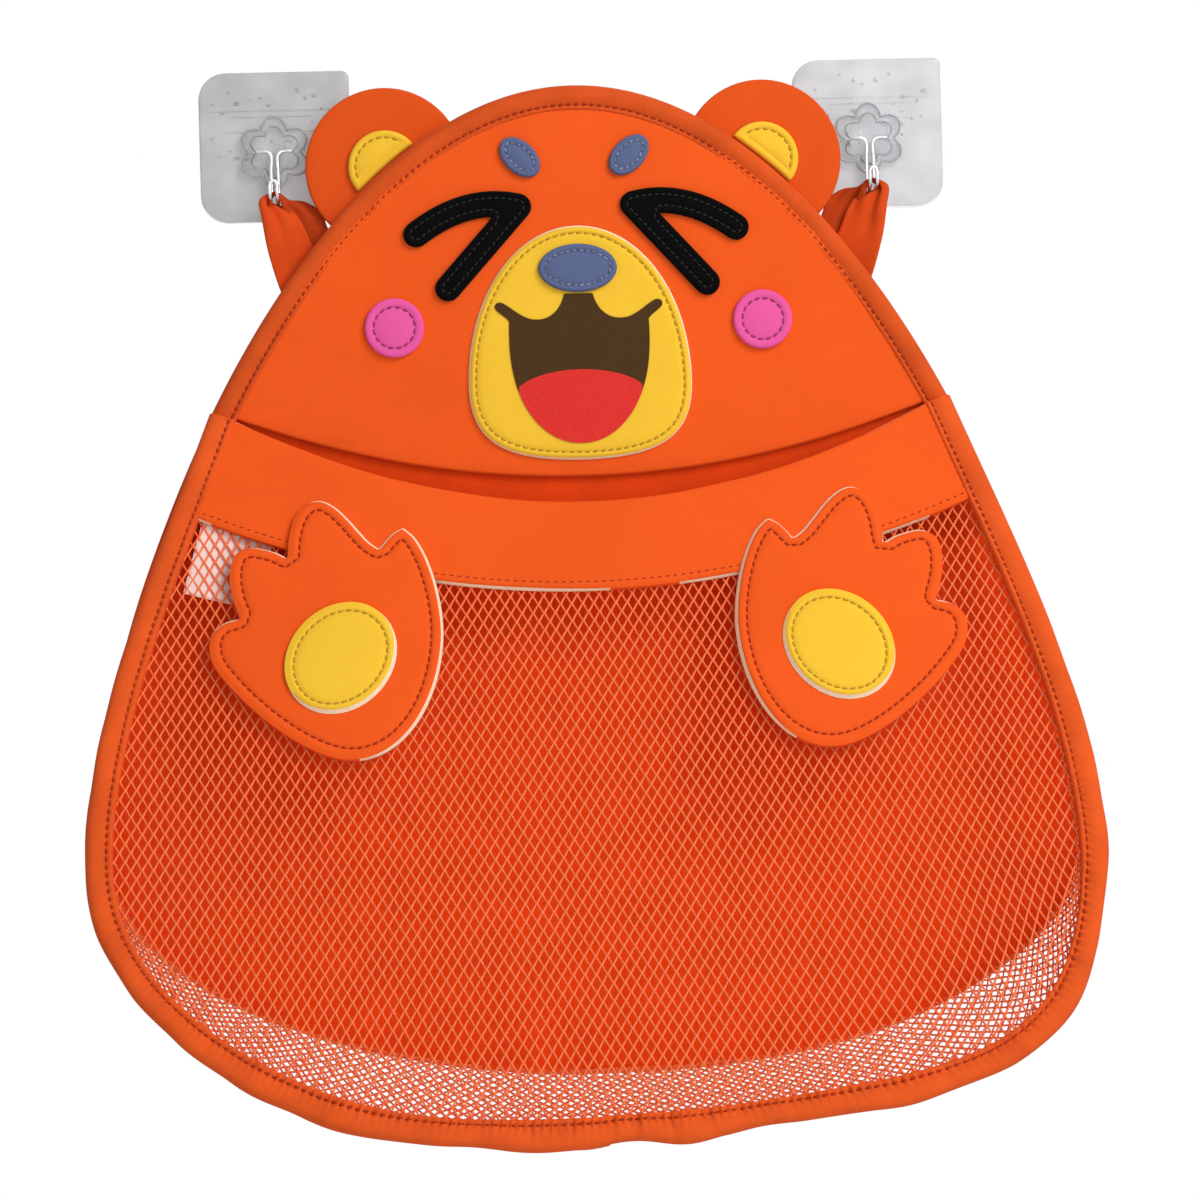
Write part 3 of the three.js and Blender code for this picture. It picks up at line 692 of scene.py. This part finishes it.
# Stage
class ORGANIZER_OT_stage(bpy.types.Operator):
    """Sets the floor, the soft light, the white surround and the camera at the photograph's view"""

    bl_idname = "organizer.stage"
    bl_label = "Stage"

    # Each lamp's name, place, size and power
    LAMPS = (
        ("key_light", (0.95, -1.2, 0.9), 0.9, 19),
        ("fill_light", (0.5, -1.5, -0.1), 1.4, 7),
        ("back_light", (0.2, 1.1, 0.9), 1.2, 7),
    )
    LIT = Vector((0, -0.03, -0.17))
    SOFT_LIGHT = 0.44
    FLOOR_HALF = 1.3
    FLOOR_HEIGHT = -0.9
    AIM = Vector((6, 0, -184)) * MM
    AZIMUTH = math.radians(-2)
    ROLL = math.radians(-1.6)

    def execute(self, context):
        scene = context.scene
        scene.view_settings.view_transform = "Standard"
        self.surround(scene)
        self.floor()
        for name, place, size, power in self.LAMPS:
            self.lamp(name, Vector(place), size, power)
        self.camera(scene)
        return {"FINISHED"}

    def surround(self, scene):
        """Even soft light on the object, and white where the camera, a reflection or clear plastic sees."""
        world = bpy.data.worlds.new("surround")
        world.use_nodes = True
        tree = world.node_tree
        rays = tree.nodes.new("ShaderNodeLightPath").outputs
        bent = combined(tree, "MAXIMUM", rays["Is Glossy Ray"], rays["Is Transmission Ray"])
        seen = combined(tree, "MAXIMUM", rays["Is Camera Ray"], bent)
        level = tree.nodes.new("ShaderNodeMapRange")
        put(level, To_Min=self.SOFT_LIGHT, To_Max=1.0)
        tree.links.new(seen, level.inputs["Value"])
        back = tree.nodes["Background"]
        put(back, Color=(1, 1, 1, 1))
        tree.links.new(level.outputs["Result"], back.inputs["Strength"])
        scene.world = world

    def floor(self):
        bm = bmesh.new()
        bmesh.ops.create_grid(bm, x_segments=1, y_segments=1, size=self.FLOOR_HALF)
        bmesh.ops.translate(bm, verts=bm.verts, vec=UP * self.FLOOR_HEIGHT)
        mesh = bpy.data.meshes.new("floor")
        bm.to_mesh(mesh)
        bm.free()
        pale = surface((0.82, 0.82, 0.82), 40, (0.98, 1.02), detail=3.0, Roughness=0.8)
        mesh.materials.append(material("pale_floor", pale))
        placed("floor", mesh)

    def lamp(self, name, place, size, power):
        light = bpy.data.lights.new(name, "AREA")
        light.shape = "DISK"
        light.size = size
        light.energy = power
        lamp = placed(name, light)
        lamp.location = place
        lamp.rotation_euler = (self.LIT - place).to_track_quat("-Z", "Y").to_euler()

    def camera(self, scene):
        """Almost square to the wall, a little from the left, and rolled as the photograph was."""
        s = sizes()
        data = bpy.data.cameras.new("view")
        data.sensor_width = 36
        data.lens = data.sensor_width * s.view_distance / s.view_width
        camera = placed("view", data)
        back = Vector((math.sin(self.AZIMUTH), -math.cos(self.AZIMUTH), 0))
        camera.location = self.AIM + back * s.view_distance
        turn = (-back).to_track_quat("-Z", "Y").to_matrix().to_4x4() @ Matrix.Rotation(self.ROLL, 4, "Z")
        camera.rotation_euler = turn.to_euler()
        scene.camera = camera


# Head
class ORGANIZER_OT_head(bpy.types.Operator):
    """Makes the head panel, the sewn patches of the face and the two ears behind it"""

    bl_idname = "organizer.head"
    bl_label = "Head, face and ears"

    # The right half of the laughing mouth's edge, in millimetres from the muzzle's middle: where each stretch
    # starts, its two handles and its steps
    MOUTH = (
        ((5.6, 19.0), (7.4, 11.6), (12.4, 8.8), 12),
        ((17.0, 9.2), (22.0, 9.2), (26.0, 14.0), 12),
        ((30.0, 16.0), (32.6, 17.0), (34.2, 14.2), 8),
        ((31.8, 12.6), (30.4, 11.2), (28.6, 10.4), 6),
        ((27.4, 8.6), (28.2, -6.0), (26.5, -18.0), 12),
        ((20.0, -28.0), (14.0, -36.5), (7.0, -39.6), 12),
        ((0.0, -39.6),),
    )
    TONGUE = ((-24.2, -17.0), (-14.0, -8.6), (14.0, -8.6), (24.2, -17.0))
    # The prints' thickness, and how many millimetres before the muzzle's solid they start
    PRINT_THICK = 0.06 * MM
    PRINT_START = 0.3
    # The inner ear's seam, in millimetres from its edge, and how far it ends from the head's tape
    EAR_SEAM = 3.0
    EAR_CLEAR = 3.4 * MM

    def execute(self, _context):
        patch("head_cloth", "head_panel", ["orange", "foam"], cut=0.15, swell=head_swell)
        for side, _ in SIDES:
            self.sewn(f"brow_{side}", ["slate"], 2.4, 2.4)
            self.sewn(f"eye_{side}", ["black"], 2.9, 2.6, grow=1.1)
            self.sewn(f"cheek_{side}", ["pink"], 3.6)
        self.sewn("muzzle", ["yellow", "foam"], 3.0, cut=0.9)
        self.sewn("nose", ["slate"], 2.6, 2.6)
        self.mouth()
        for side, _ in SIDES:
            self.ear(side)
        return {"FINISHED"}

    def sewn(self, node, looks, inset, pitch=None, cut=0.0, grow=0.0):
        """A patch of the face, with its seam's distance from its edge and its stitches' in millimetres."""
        pitch = pitch and pitch * MM
        look = f"{looks[0]}_thread"
        sewn_patch(f"{node}_patch", node, looks, look, inset, cut, head_swell, pitch, grow=grow)

    def mouth(self):
        """The mouth and the tongue, printed on the muzzle."""
        half = []
        for (*stretch, steps), following in zip(self.MOUTH, self.MOUTH[1:]):
            half += self.curve(*stretch, following[0], steps=steps)
        chin = self.at(*self.MOUTH[-1][0])
        self.lay("mouth_print", half + [chin] + self.mirrored(half), "mouth", 0.12)
        lip = self.curve(*self.TONGUE, steps=20)
        end = self.at(*self.TONGUE[-1])
        below = [p for p in half if p.z < end.z]
        self.lay("tongue_print", lip + [end] + below + [chin] + self.mirrored(below), "tongue", 0.2)

    def at(self, x, z):
        return Vector((x, 0, z))

    def curve(self, *points, steps):
        """A curve from its ends and handles, without its last point."""
        return interpolate_bezier(*(self.at(*p) for p in points), steps)[:-1]

    def mirrored(self, line):
        return [self.at(-p.x, p.z) for p in reversed(line)]

    def lay(self, name, points, look, proud):
        """A thin print on the muzzle that stands so many millimetres proud."""
        low, _ = corners_of("muzzle")
        middle = middle_of("muzzle")
        middle = Vector((middle.x, low.y, middle.z))
        rise = (proud + self.PRINT_START) * MM
        bm = bmesh.new()
        face = bm.faces.new([bm.verts.new(middle + p * MM + OUT * rise) for p in points])
        bmesh.ops.recalc_face_normals(bm, faces=[face])
        if face.normal.dot(OUT) < 0:
            bmesh.ops.reverse_faces(bm, faces=[face])
        bmesh.ops.extrude_face_region(bm, geom=[face], use_keep_orig=True)
        bmesh.ops.translate(bm, verts=face.verts, vec=OUT * self.PRINT_THICK)
        bmesh.ops.recalc_face_normals(bm, faces=bm.faces)
        top = max(bm.faces, key=lambda f: f.calc_center_median().dot(OUT))
        grid_cut(bm, [top], OUT, GRID)
        finish_piece(name, bm, [look], swell=head_swell)

    def ear(self, side):
        """An ear behind the head, and its inner patch, sewn along the side that shows."""
        # The ear's cloth takes the orange darkened as painted shade
        patch(f"ear_{side}_cloth", f"ear_{side}", ["painted_shade_orange"])
        node = f"inner_ear_{side}"
        _, loop, facing = patch(f"{node}_patch", node, ["yellow", "foam"], self.EAR_SEAM, 0.3)
        seam = self.round_side(node, seam_line(loop, facing, self.EAR_SEAM * MM))
        sew(f"{node}_stitches", seam, facing, "yellow_thread", closed=False)

    def round_side(self, node, seam):
        """The stretch of a closed seam that keeps clear of the side under the head's tape."""
        hidden = rounded(sides_of(node)[0][1], closed=False)
        clear = [min((p - q).length for q in hidden) > self.EAR_CLEAR for p in seam]
        start = next(i for i in range(len(seam)) if clear[i] and not clear[i - 1])
        return [seam[i] for i in range(start - len(seam), start) if clear[i]]


# Front
class ORGANIZER_OT_chest(bpy.types.Operator):
    """Makes the chest band, with the stitches that hold the net, and the two paws with their sewn pads"""

    bl_idname = "organizer.chest"
    bl_label = "Chest band and paws"

    BAND_SEAM = 3 * MM

    def execute(self, _context):
        patch("chest_band_cloth", "chest_band", ["orange", "foam"], cut=0.7)
        lines, facing, _ = sides_of("chest_band")
        lower = min(lines[:2], key=lambda line: sum(p.z for p in line) / len(line))
        up = rise_of(facing) * self.BAND_SEAM
        seam = [p + up for p in rounded(from_left(lower), closed=False)]
        sew("chest_band_stitches", seam, facing, "orange_thread", closed=False)
        for side, sign in SIDES:
            above = Vector((-0.6 * sign, 0, 0.8))
            below = Vector((-0.5 * sign, 0, -0.85))
            paw = f"paw_{side}"
            pad = f"paw_pad_{side}"
            sewn_patch(f"{paw}_cloth", paw, ["orange", "foam"], "orange_thread", 4.5, 1.0, bare=above)
            sewn_patch(f"{pad}_patch", pad, ["yellow", "foam"], "yellow_thread", 3.6, 1.2, bare=below)
        return {"FINISHED"}


class ORGANIZER_OT_tape(bpy.types.Operator):
    """Folds the binding tape round the head's rim and round the front's edge"""

    bl_idname = "organizer.tape"
    bl_label = "Binding tape"

    # Once round the folded tape: across from its inner edge to the rim, and out from its back, as shares
    SECTION = (
        (0.0, 0.87), (0.06, 0.94), (0.13, 0.92), (0.2, 0.86), (0.27, 0.92), (0.4, 0.99), (0.58, 1.05),
        (0.76, 1.02), (0.9, 0.9), (1.0, 0.66), (1.02, 0.4), (0.96, 0.16), (0.82, 0.02), (0.5, 0.0),
        (0.2, 0.02), (0.0, 0.08),
    )
    SEAM = 0.2
    STEP = 1.1 * MM
    # How often the cloth wanders along the tape, in cycles a metre, and the row of the noise that it takes
    RIPPLE = (90, 0.0)
    SWING = (38, 4.0)
    CREASE = (210, 8.0)
    PLEAT = (85, 6.0)
    SWING_WIDE = 0.36
    CREASE_DEEP = 2.2 * MM
    PLEAT_DEEP = 4.0 * MM
    # Where creases and pleats start in their noise
    CREASE_FROM = 0.1
    PLEAT_FROM = 0.12
    # How strongly the stitches gather the tape, how far across that reaches, and how deep they are sunk in it
    GATHER = 0.6
    GATHER_REACH = 0.34
    SUNK = 0.05

    def execute(self, _context):
        # The head's tape takes the tape darkened as painted shade
        self.fold("head_tape", "head_binding", "rim_tape_painted_shade", 0.3, 0.25, lap=4.0)
        self.fold("lower_tape", "lower_binding", "tape", 0.6, 1.0, swell=corner_fill)
        return {"FINISHED"}

    def fold(self, name, node, look, pucker, sag, lap=0.0, swell=still):
        """Sweeps the tape's section along its two edges and sews it down.

        `pucker` is how far it ripples between the stitches and `lap` how far it runs on at its ends, in
        millimetres. `sag` is how strongly it swings, creases and pleats where it hangs lowest.
        """
        lines, facing, depth = sides_of(node)
        outer, inner = (self.run_on(rounded(from_left(line), False), lap * MM) for line in lines[:2])
        count = int(run(outer) / self.STEP)
        pitch = sizes().stitch_pitch
        bm = bmesh.new()
        rings = []
        seam = []
        for i, (rim, edge) in enumerate(zip(evenly(outer, count), evenly(inner, count))):
            along = i * self.STEP
            low = max(0.0, -(rim - edge).normalized().z)
            ripple, swing, crease, pleat = (
                noise.noise(Vector((along * pace, row, depth * 900)))
                for pace, row in (self.RIPPLE, self.SWING, self.CREASE, self.PLEAT)
            )
            gather = ripple + self.GATHER * math.cos(math.tau * along / pitch)
            across = (rim - edge) * (1 + self.SWING_WIDE * sag * low * swing)
            crease = self.CREASE_DEEP * sag * max(0.0, crease - self.CREASE_FROM) * low
            pleat = self.PLEAT_DEEP * sag * max(0.0, pleat - self.PLEAT_FROM) * low
            loose = pucker * MM * (1 + sag * low)
            ring = []
            for share, out in self.SECTION:
                lift = (out - 1) * depth
                if out > 0.5:
                    lift += math.exp(-((share - self.SEAM) / self.GATHER_REACH) ** 2) * gather * loose
                    lift -= crease * (1 - share) + pleat * (1 - 0.5 * share)
                ring.append(bm.verts.new(edge + across * share + facing * lift))
            rings.append(ring)
            sunk = crease * (1 - self.SEAM) + pleat * (1 - 0.5 * self.SEAM)
            seam.append(edge + across * self.SEAM + facing * (ripple * loose - self.SUNK * depth - sunk))
        for low_ring, high_ring in zip(rings, rings[1:]):
            bridge(bm, low_ring, high_ring)
        for end in (rings[0], rings[-1]):
            bm.faces.new(end)
        bmesh.ops.recalc_face_normals(bm, faces=bm.faces)
        finish_piece(name, bm, [look], nodes=[node], swell=swell, sharp=60)
        sew(f"{name}_stitches", seam, facing, "orange_thread", closed=False, swell=swell)

    def run_on(self, line, far):
        """A line carried straight on at both its ends."""
        start = line[0] + (line[0] - line[1]).normalized() * far
        end = line[-1] + (line[-1] - line[-2]).normalized() * far
        return [start, *line, end] if far else line


class ORGANIZER_OT_nets(bpy.types.Operator):
    """Knots the front net and the net wall behind it"""

    bl_idname = "organizer.nets"
    bl_label = "Nets"

    WALL_STEPS = 400
    # The wall's thread as a share of the front's, the height that its hem on the back panel leans towards and
    # the hem's width in millimetres
    WALL_THREAD = 0.8
    HEM_TOWARDS = -0.2
    HEM_WIDE = 2
    # How far the front net lies behind its solid's front, and the wall's edge behind the tape
    FRONT_BEHIND = 0.5 * MM
    WALL_BEHIND = 0.4 * MM

    def execute(self, _context):
        self.front()
        self.wall()
        return {"FINISHED"}

    def lattice(self, wide, tall):
        """A field of diamonds about the origin, across x and z, at least as wide and tall as asked."""
        s = sizes()
        half = Vector((s.net_wide / 2, s.net_tall / 2))
        count = 2 * math.ceil((wide / half.x + tall / half.y) / 4 + 1)
        bm = bmesh.new()
        bmesh.ops.create_grid(bm, x_segments=count, y_segments=count, size=count / 2)
        slant = Matrix(((half.x, -half.x, 0), (0, 0, 1), (half.y, half.y, 0)))
        for v in bm.verts:
            v.co = slant @ v.co
        return bm

    def trim(self, bm, kept):
        """Takes away the cells that aren't kept, and gives the area of those that are."""
        bmesh.ops.delete(bm, geom=[f for f in bm.faces if not kept(f)], context="FACES")
        return sum(f.calc_area() for f in bm.faces)

    def knot(self, name, bm, node, flat, area, share=1.0, swell=still, hem=()):
        """Turns a lattice's edges into thread."""
        piece = finish_piece(name, bm, ["net"], nodes=[node], swell=swell, sharp=80)
        strand = piece.modifiers.new("strands", "WIREFRAME")
        strand.thickness = sizes().net_thread * share
        strand.use_even_offset = False
        hem = [bpy.data.objects[part] for part in hem]

    def front(self):
        loop, facing, _ = outline("front_net")
        low, high = corners_of("front_net")
        middle = (low + high) / 2
        rise = rise_of(facing)
        width = high.x - low.x
        height = (high.z - low.z) / rise.z
        bm = self.lattice(width, height)
        anchor = max(loop, key=lambda p: p.z)
        for v in bm.verts:
            up = v.co.z + (middle.z - anchor.z) / rise.z
            v.co = Vector((middle.x + v.co.x, anchor.y, anchor.z)) + rise * up
        flat = self.trim(bm, lambda f: all(within(v.co, loop) for v in f.verts))
        for v in bm.verts:
            v.co -= facing * self.FRONT_BEHIND
        hem = ["lower_tape", "lower_tape_stitches"]
        self.knot("front_net_cloth", bm, "front_net", (width, height), flat, swell=corner_fill, hem=hem)

    def wall(self):
        """The net wall: a lattice rolled out along the front's edge and stretched back to the back panel."""
        lines, facing, depth = sides_of("lower_binding")
        outer, inner = (from_left(line) for line in lines[:2])
        count = self.WALL_STEPS
        edges = zip(evenly(rounded(outer, False), count), evenly(rounded(inner, False), count))
        front = [a.lerp(b, 0.5) - facing * (depth + self.WALL_BEHIND) for a, b in edges]
        front = [p + corner_fill(p) for p in front]
        rim = [p + back_fill(p) for p in rounded(outline("back_panel")[0])]
        back = []
        for p in front:
            near = min(rim, key=lambda q: (q.x - p.x) ** 2 + (q.z - p.z) ** 2)
            toward = Vector((-p.x, 0, self.HEM_TOWARDS - p.z)).normalized()
            back.append(near + toward * self.HEM_WIDE * MM)
        girth = run(front)
        deepest = max((b - a).length for a, b in zip(front, back))
        bm = self.lattice(girth, deepest)
        for v in bm.verts:
            v.co.z += deepest / 2
            v.co.x += girth / 2

        def reach(x):
            place = min(max(x / girth, 0), 1) * (count - 1)
            i = min(int(place), count - 2)
            return front[i].lerp(front[i + 1], place - i), back[i].lerp(back[i + 1], place - i)

        def kept(f):
            c = f.calc_center_median()
            a, b = reach(c.x)
            return 0 <= c.x <= girth and 0 <= c.z <= (b - a).length

        flat = self.trim(bm, kept)
        for v in bm.verts:
            a, b = reach(v.co.x)
            v.co = a.lerp(b, min(1, max(0, v.co.z / max((b - a).length, 1e-6))))
        self.knot("net_wall_cloth", bm, "gusset_net", (girth, deepest), flat, self.WALL_THREAD)


class ORGANIZER_OT_back(bpy.types.Operator):
    """Makes the back panel and the blank label tab"""

    bl_idname = "organizer.back"
    bl_label = "Back panel and label"

    SEAM = 5 * MM
    # The height, behind the chest band, above which the panel is darkened as painted shade under the head
    BAND = -0.16
    # The label's slant, and how much larger it is than the part of it that its solid shows
    SLANT = math.radians(15)
    RUN_ON = Vector((1.3, 1.15, 1.15))
    # The height at which the panel's folds start, how far down they grow and how deep they are
    FOLDS_TOP = -0.15
    FOLDS_GROW = 0.08
    FOLDS_DEEP = 1.2 * MM

    def execute(self, _context):
        piece, loop, facing = patch("back_cloth", "back_panel", ["lining"], swell=self.folds, pitch=9 * MM)
        behind = corners_of("back_panel")[1].y
        seam = [Vector((p.x, behind, p.z)) for p in seam_line(loop, facing, self.SEAM)]
        sew("back_stitches", seam, -facing, "orange_thread", swell=self.folds)
        # Faces above the band take the lining darkened as painted shade
        piece.data.materials.append(finishes()["lining_painted_shade"][0])
        for face in piece.data.polygons:
            face.material_index = int(face.center.z > self.BAND)
        label, _, _ = patch("label_cloth", "label_tab", ["label"], swell=self.slanted)
        return {"FINISHED"}

    def slanted(self, p):
        """The tab hangs askew and runs on under the tape and the band."""
        away = p - middle_of("label_tab")
        return Matrix.Rotation(self.SLANT, 3, "Y") @ (away * self.RUN_ON) - away

    def folds(self, p):
        """Shallow folds that hang from the head into the pocket."""
        down = max(0.0, min(1.0, (self.FOLDS_TOP - p.z) / self.FOLDS_GROW))
        fold = noise.noise(Vector((p.x * 16, 2.0, p.z * 4)))
        return OUT * self.FOLDS_DEEP * down * (1 + fold) + back_fill(p)


# Hooks and straps
class ORGANIZER_OT_hooks(bpy.types.Operator):
    """Makes the clear adhesive plates, their flower-shaped bosses and the bright wires"""

    bl_idname = "organizer.hooks"
    bl_label = "Hooks"

    RIDGE = 0.42 * MM
    RIDGE_SIDES = 8
    BUBBLES = 34
    BUBBLE_DEEP = 0.16 * MM
    # How far below the plate's top each crease runs and how long it is, as shares of the plate
    CREASES = ((0.26, 0.846), (0.3, 0.517), (0.4, 0.658))
    CREASE_DEEP = 0.1 * MM
    CREASE_WIDE = 0.35 * MM

    def execute(self, _context):
        for seed, (side, _) in enumerate(SIDES):
            # Each plate takes its side's film tint, which carries painted shade on the left and painted light
            # on the right
            patch(f"plate_{side}_film", f"hook_plate_{side}", [f"film_{side}"], body=HOOKS)
            self.blemishes(side, random.Random(seed + 5))
            self.smooth_copy(f"hook_boss_{side}", "boss", HOOKS)
            self.ridges(side)
            self.smooth_copy(f"hook_wire_{side}", "wire", f"{side}_hook_wire")
        return {"FINISHED"}

    def smooth_copy(self, node, look, body):
        finish_piece(f"{node}_finish", solid_of(node), [look], body, [node], sharp=50)

    def ridges(self, side):
        """Moulded ridges along the flower's outline and inside its petals."""
        loop, facing, _ = outline(f"hook_boss_{side}", broadest=True)
        loop = rounded(loop)
        middle = sum(loop, Vector()) / len(loop)
        bm = bmesh.new()
        for share in (0.97, 0.7):
            self.tube(bm, [middle + (p - middle) * share for p in loop], facing)
        bmesh.ops.recalc_face_normals(bm, faces=bm.faces)
        finish_piece(f"boss_{side}_ridges", bm, ["ridge"], HOOKS, sharp=80)

    def tube(self, bm, line, facing):
        """A round ridge along a closed line."""
        rings = []
        for i, p in enumerate(line):
            side = inward(line, i, facing)
            ring = []
            for k in range(self.RIDGE_SIDES):
                turn = math.tau * k / self.RIDGE_SIDES
                out = side * math.cos(turn) + facing * math.sin(turn)
                ring.append(bm.verts.new(p + out * self.RIDGE))
            rings.append(ring)
        for low, high in pairs(rings):
            bridge(bm, low, high)

    def blemishes(self, side, chance):
        """Creases pressed into the film and bubbles of air under it."""
        low, high = corners_of(f"hook_plate_{side}")
        wide, tall = high.x - low.x, high.z - low.z
        bm = bmesh.new()
        for drop, reach in self.CREASES:
            middle = Vector((low.x + wide / 2, low.y, high.z - tall * drop))
            size = Matrix.Diagonal((wide * reach, self.CREASE_DEEP, self.CREASE_WIDE, 1))
            bmesh.ops.create_cube(bm, size=1, matrix=Matrix.Translation(middle) @ size)
        for _ in range(self.BUBBLES):
            across = wide * chance.uniform(0.08, 0.9)
            down = tall * chance.uniform(0.1, 0.6)
            place = Matrix.Translation((low.x + across, low.y, high.z - down))
            radius = chance.uniform(0.25, 0.95) * MM
            size = Matrix.Diagonal((radius * chance.uniform(1, 1.7), self.BUBBLE_DEEP, radius, 1))
            bmesh.ops.create_uvsphere(bm, u_segments=10, v_segments=6, radius=1, matrix=place @ size)
        finish_piece(f"plate_{side}_bubbles", bm, [f"film_{side}"], HOOKS, sharp=60)


class ORGANIZER_OT_straps(bpy.types.Operator):
    """Loops the ribbon straps from the head's rim over the hooks' bends"""

    bl_idname = "organizer.straps"
    bl_label = "Straps"

    # Along a strap from the rim over the wire and back: its middle (across, out, up), the way that its width
    # runs, its width and the depth of its gathers, in millimetres
    WAY = (
        ((106.8, 10.4, -52.8), (0.57, 0.0, -0.82), 22.5, 0.0),
        ((110.0, 11.0, -51.2), (0.57, 0.0, -0.82), 22.5, 0.0),
        ((114.4, 13.6, -39.0), (0.68, 0.1, -0.73), 19.0, 0.2),
        ((117.4, 15.0, -29.0), (0.86, 0.36, -0.36), 13.0, 1.2),
        ((121.8, 12.6, -23.0), (0.5, 0.86, 0.0), 7.4, 1.4),
        ((118.5, 12.0, -19.8), (0.0, 1.0, 0.0), 5.6, 1.0),
        ((115.2, 12.0, -22.4), (0.1, 0.98, -0.1), 6.4, 1.4),
        ((110.4, 9.6, -26.8), (0.62, 0.4, -0.67), 12.0, 1.0),
        ((106.2, 9.2, -34.6), (0.58, 0.1, -0.8), 18.8, 0.2),
        ((103.4, 9.0, -45.2), (0.57, 0.0, -0.82), 22.5, 0.0),
        ((101.2, 9.0, -48.0), (0.57, 0.0, -0.82), 22.0, 0.0),
    )
    WIDE = 22.5
    THICK = 0.7
    # Faces across the ribbon, steps from place to place, gathers across it and the place on the wire
    CELLS = 16
    STEPS = 6
    PLEATS = 2
    WIRE = 5

    def execute(self, _context):
        for side, sign in SIDES:
            node = f"strap_{side}"
            # The second look is the ribbon darkened as painted shade
            looks = ["ribbon", "ribbon_painted_shade"]
            piece = finish_piece(f"{node}_ribbon", self.ribbon(sign), looks, nodes=[node], sharp=70)
            body = piece.modifiers.new("thickness", "SOLIDIFY")
            body.thickness = self.THICK * MM
            body.offset = 0
            far = run([place[0] for place in self.between()]) * MM
        return {"FINISHED"}

    def ribbon(self, sign):
        """A sheet laid through the places of the way, with gathers that run along it."""
        bm = bmesh.new()
        rows = []
        for middle, way, width, gather in self.between():
            normal = way.cross(UP if abs(way.z) < 0.9 else ACROSS).normalized()
            row = []
            for k in range(self.CELLS + 1):
                share = k / self.CELLS - 0.5
                fold = math.sin(math.tau * self.PLEATS * share + 0.6) * gather
                x, out, up = middle + way * width * share + normal * fold
                row.append(bm.verts.new(Vector((sign * x, -out, up)) * MM))
            rows.append(row)
        for i, (low, high) in enumerate(zip(rows, rows[1:])):
            for k in range(self.CELLS):
                face = bm.faces.new((low[k], low[k + 1], high[k + 1], high[k]))
                # Rows past the wire, on the strap's inner leg, take the ribbon darkened as painted shade
                face.material_index = int(i > self.WIRE * self.STEPS)
        bmesh.ops.recalc_face_normals(bm, faces=bm.faces)
        return bm

    def between(self):
        """The places of the way and smooth steps between them."""
        places = [(Vector(m), Vector(w).normalized(), width, gather) for m, w, width, gather in self.WAY]
        last = len(places) - 1
        for i in range(last):
            a, b = places[i], places[i + 1]
            leave = (b[0] - places[max(0, i - 1)][0]) / 6
            arrive = (places[min(last, i + 2)][0] - a[0]) / 6
            line = interpolate_bezier(a[0], a[0] + leave, b[0] - arrive, b[0], self.STEPS + 1)
            for k in range(self.STEPS):
                t = k / self.STEPS
                yield line[k], a[1].slerp(b[1], t), a[2] + (b[2] - a[2]) * t, a[3] + (b[3] - a[3]) * t
        yield places[-1]


class ORGANIZER_OT_cloth(bpy.types.Operator):
    """Reads each panel's outline and works out its extent and its area"""

    bl_idname = "organizer.cloth"
    bl_label = "Cut sizes"

    FACE = ("brow_", "eye_", "cheek_", "muzzle_", "nose_", "mouth_", "tongue_", "head_tape")
    # Each panel's piece and solid, how it is held and by what, and how the names of the pieces on it begin
    PANELS = (
        ("head_cloth", "head_panel", "hung", ["strap_left", "strap_right"], FACE),
        ("ear_left_cloth", "ear_left", "stretched", ["head_binding"], ("inner_ear_left_",)),
        ("ear_right_cloth", "ear_right", "stretched", ["head_binding"], ("inner_ear_right_",)),
        ("chest_band_cloth", "chest_band", "stretched", ["lower_binding"], ("chest_band_stitches",)),
        ("paw_left_cloth", "paw_left", "laid", ["chest_band"], ("paw_left_stitches", "paw_pad_left_")),
        ("paw_right_cloth", "paw_right", "laid", ["chest_band"], ("paw_right_stitches", "paw_pad_right_")),
        ("back_cloth", "back_panel", "hung", ["head_binding"], ("back_stitches",)),
    )

    def execute(self, context):
        for name, node, held, holders, sewn_on in self.PANELS:
            loop, facing, _ = outline(node)
            rise = rise_of(facing)
            for way in (rise.cross(facing), rise):
                heights = [p.dot(way) for p in loop]
            area = area_of(loop, facing)
            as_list(holders)
        return {"FINISHED"}


class ORGANIZER_PT_panel(bpy.types.Panel):
    """Lists the steps that dress the organizer"""

    bl_idname = "ORGANIZER_PT_panel"
    bl_label = "Bath toy organizer"
    bl_space_type = "VIEW_3D"
    bl_region_type = "UI"
    bl_category = "Organizer"

    def draw(self, context):
        for step in STEPS:
            self.layout.operator(step.bl_idname)
        for group in (context.scene.organizer_sizes, context.scene.organizer_colours):
            column = self.layout.column()
            for name in group.bl_rna.properties.keys():
                if name not in ("rna_type", "name"):
                    column.prop(group, name)


STEPS = (
    ORGANIZER_OT_stage,
    ORGANIZER_OT_head,
    ORGANIZER_OT_chest,
    ORGANIZER_OT_tape,
    ORGANIZER_OT_nets,
    ORGANIZER_OT_back,
    ORGANIZER_OT_hooks,
    ORGANIZER_OT_straps,
    ORGANIZER_OT_cloth,
)
CLASSES = (OrganizerColours, OrganizerSizes, *STEPS, ORGANIZER_PT_panel)


def register():
    for kind in CLASSES:
        bpy.utils.register_class(kind)
    bpy.types.Scene.organizer_sizes = PointerProperty(type=OrganizerSizes)
    bpy.types.Scene.organizer_colours = PointerProperty(type=OrganizerColours)


def unregister():
    del bpy.types.Scene.organizer_colours
    del bpy.types.Scene.organizer_sizes
    for kind in reversed(CLASSES):
        bpy.utils.unregister_class(kind)


def main():
    register()
    for step in STEPS:
        group, name = step.bl_idname.split(".")
        getattr(getattr(bpy.ops, group), name)()


if __name__ == "__main__":
    main()
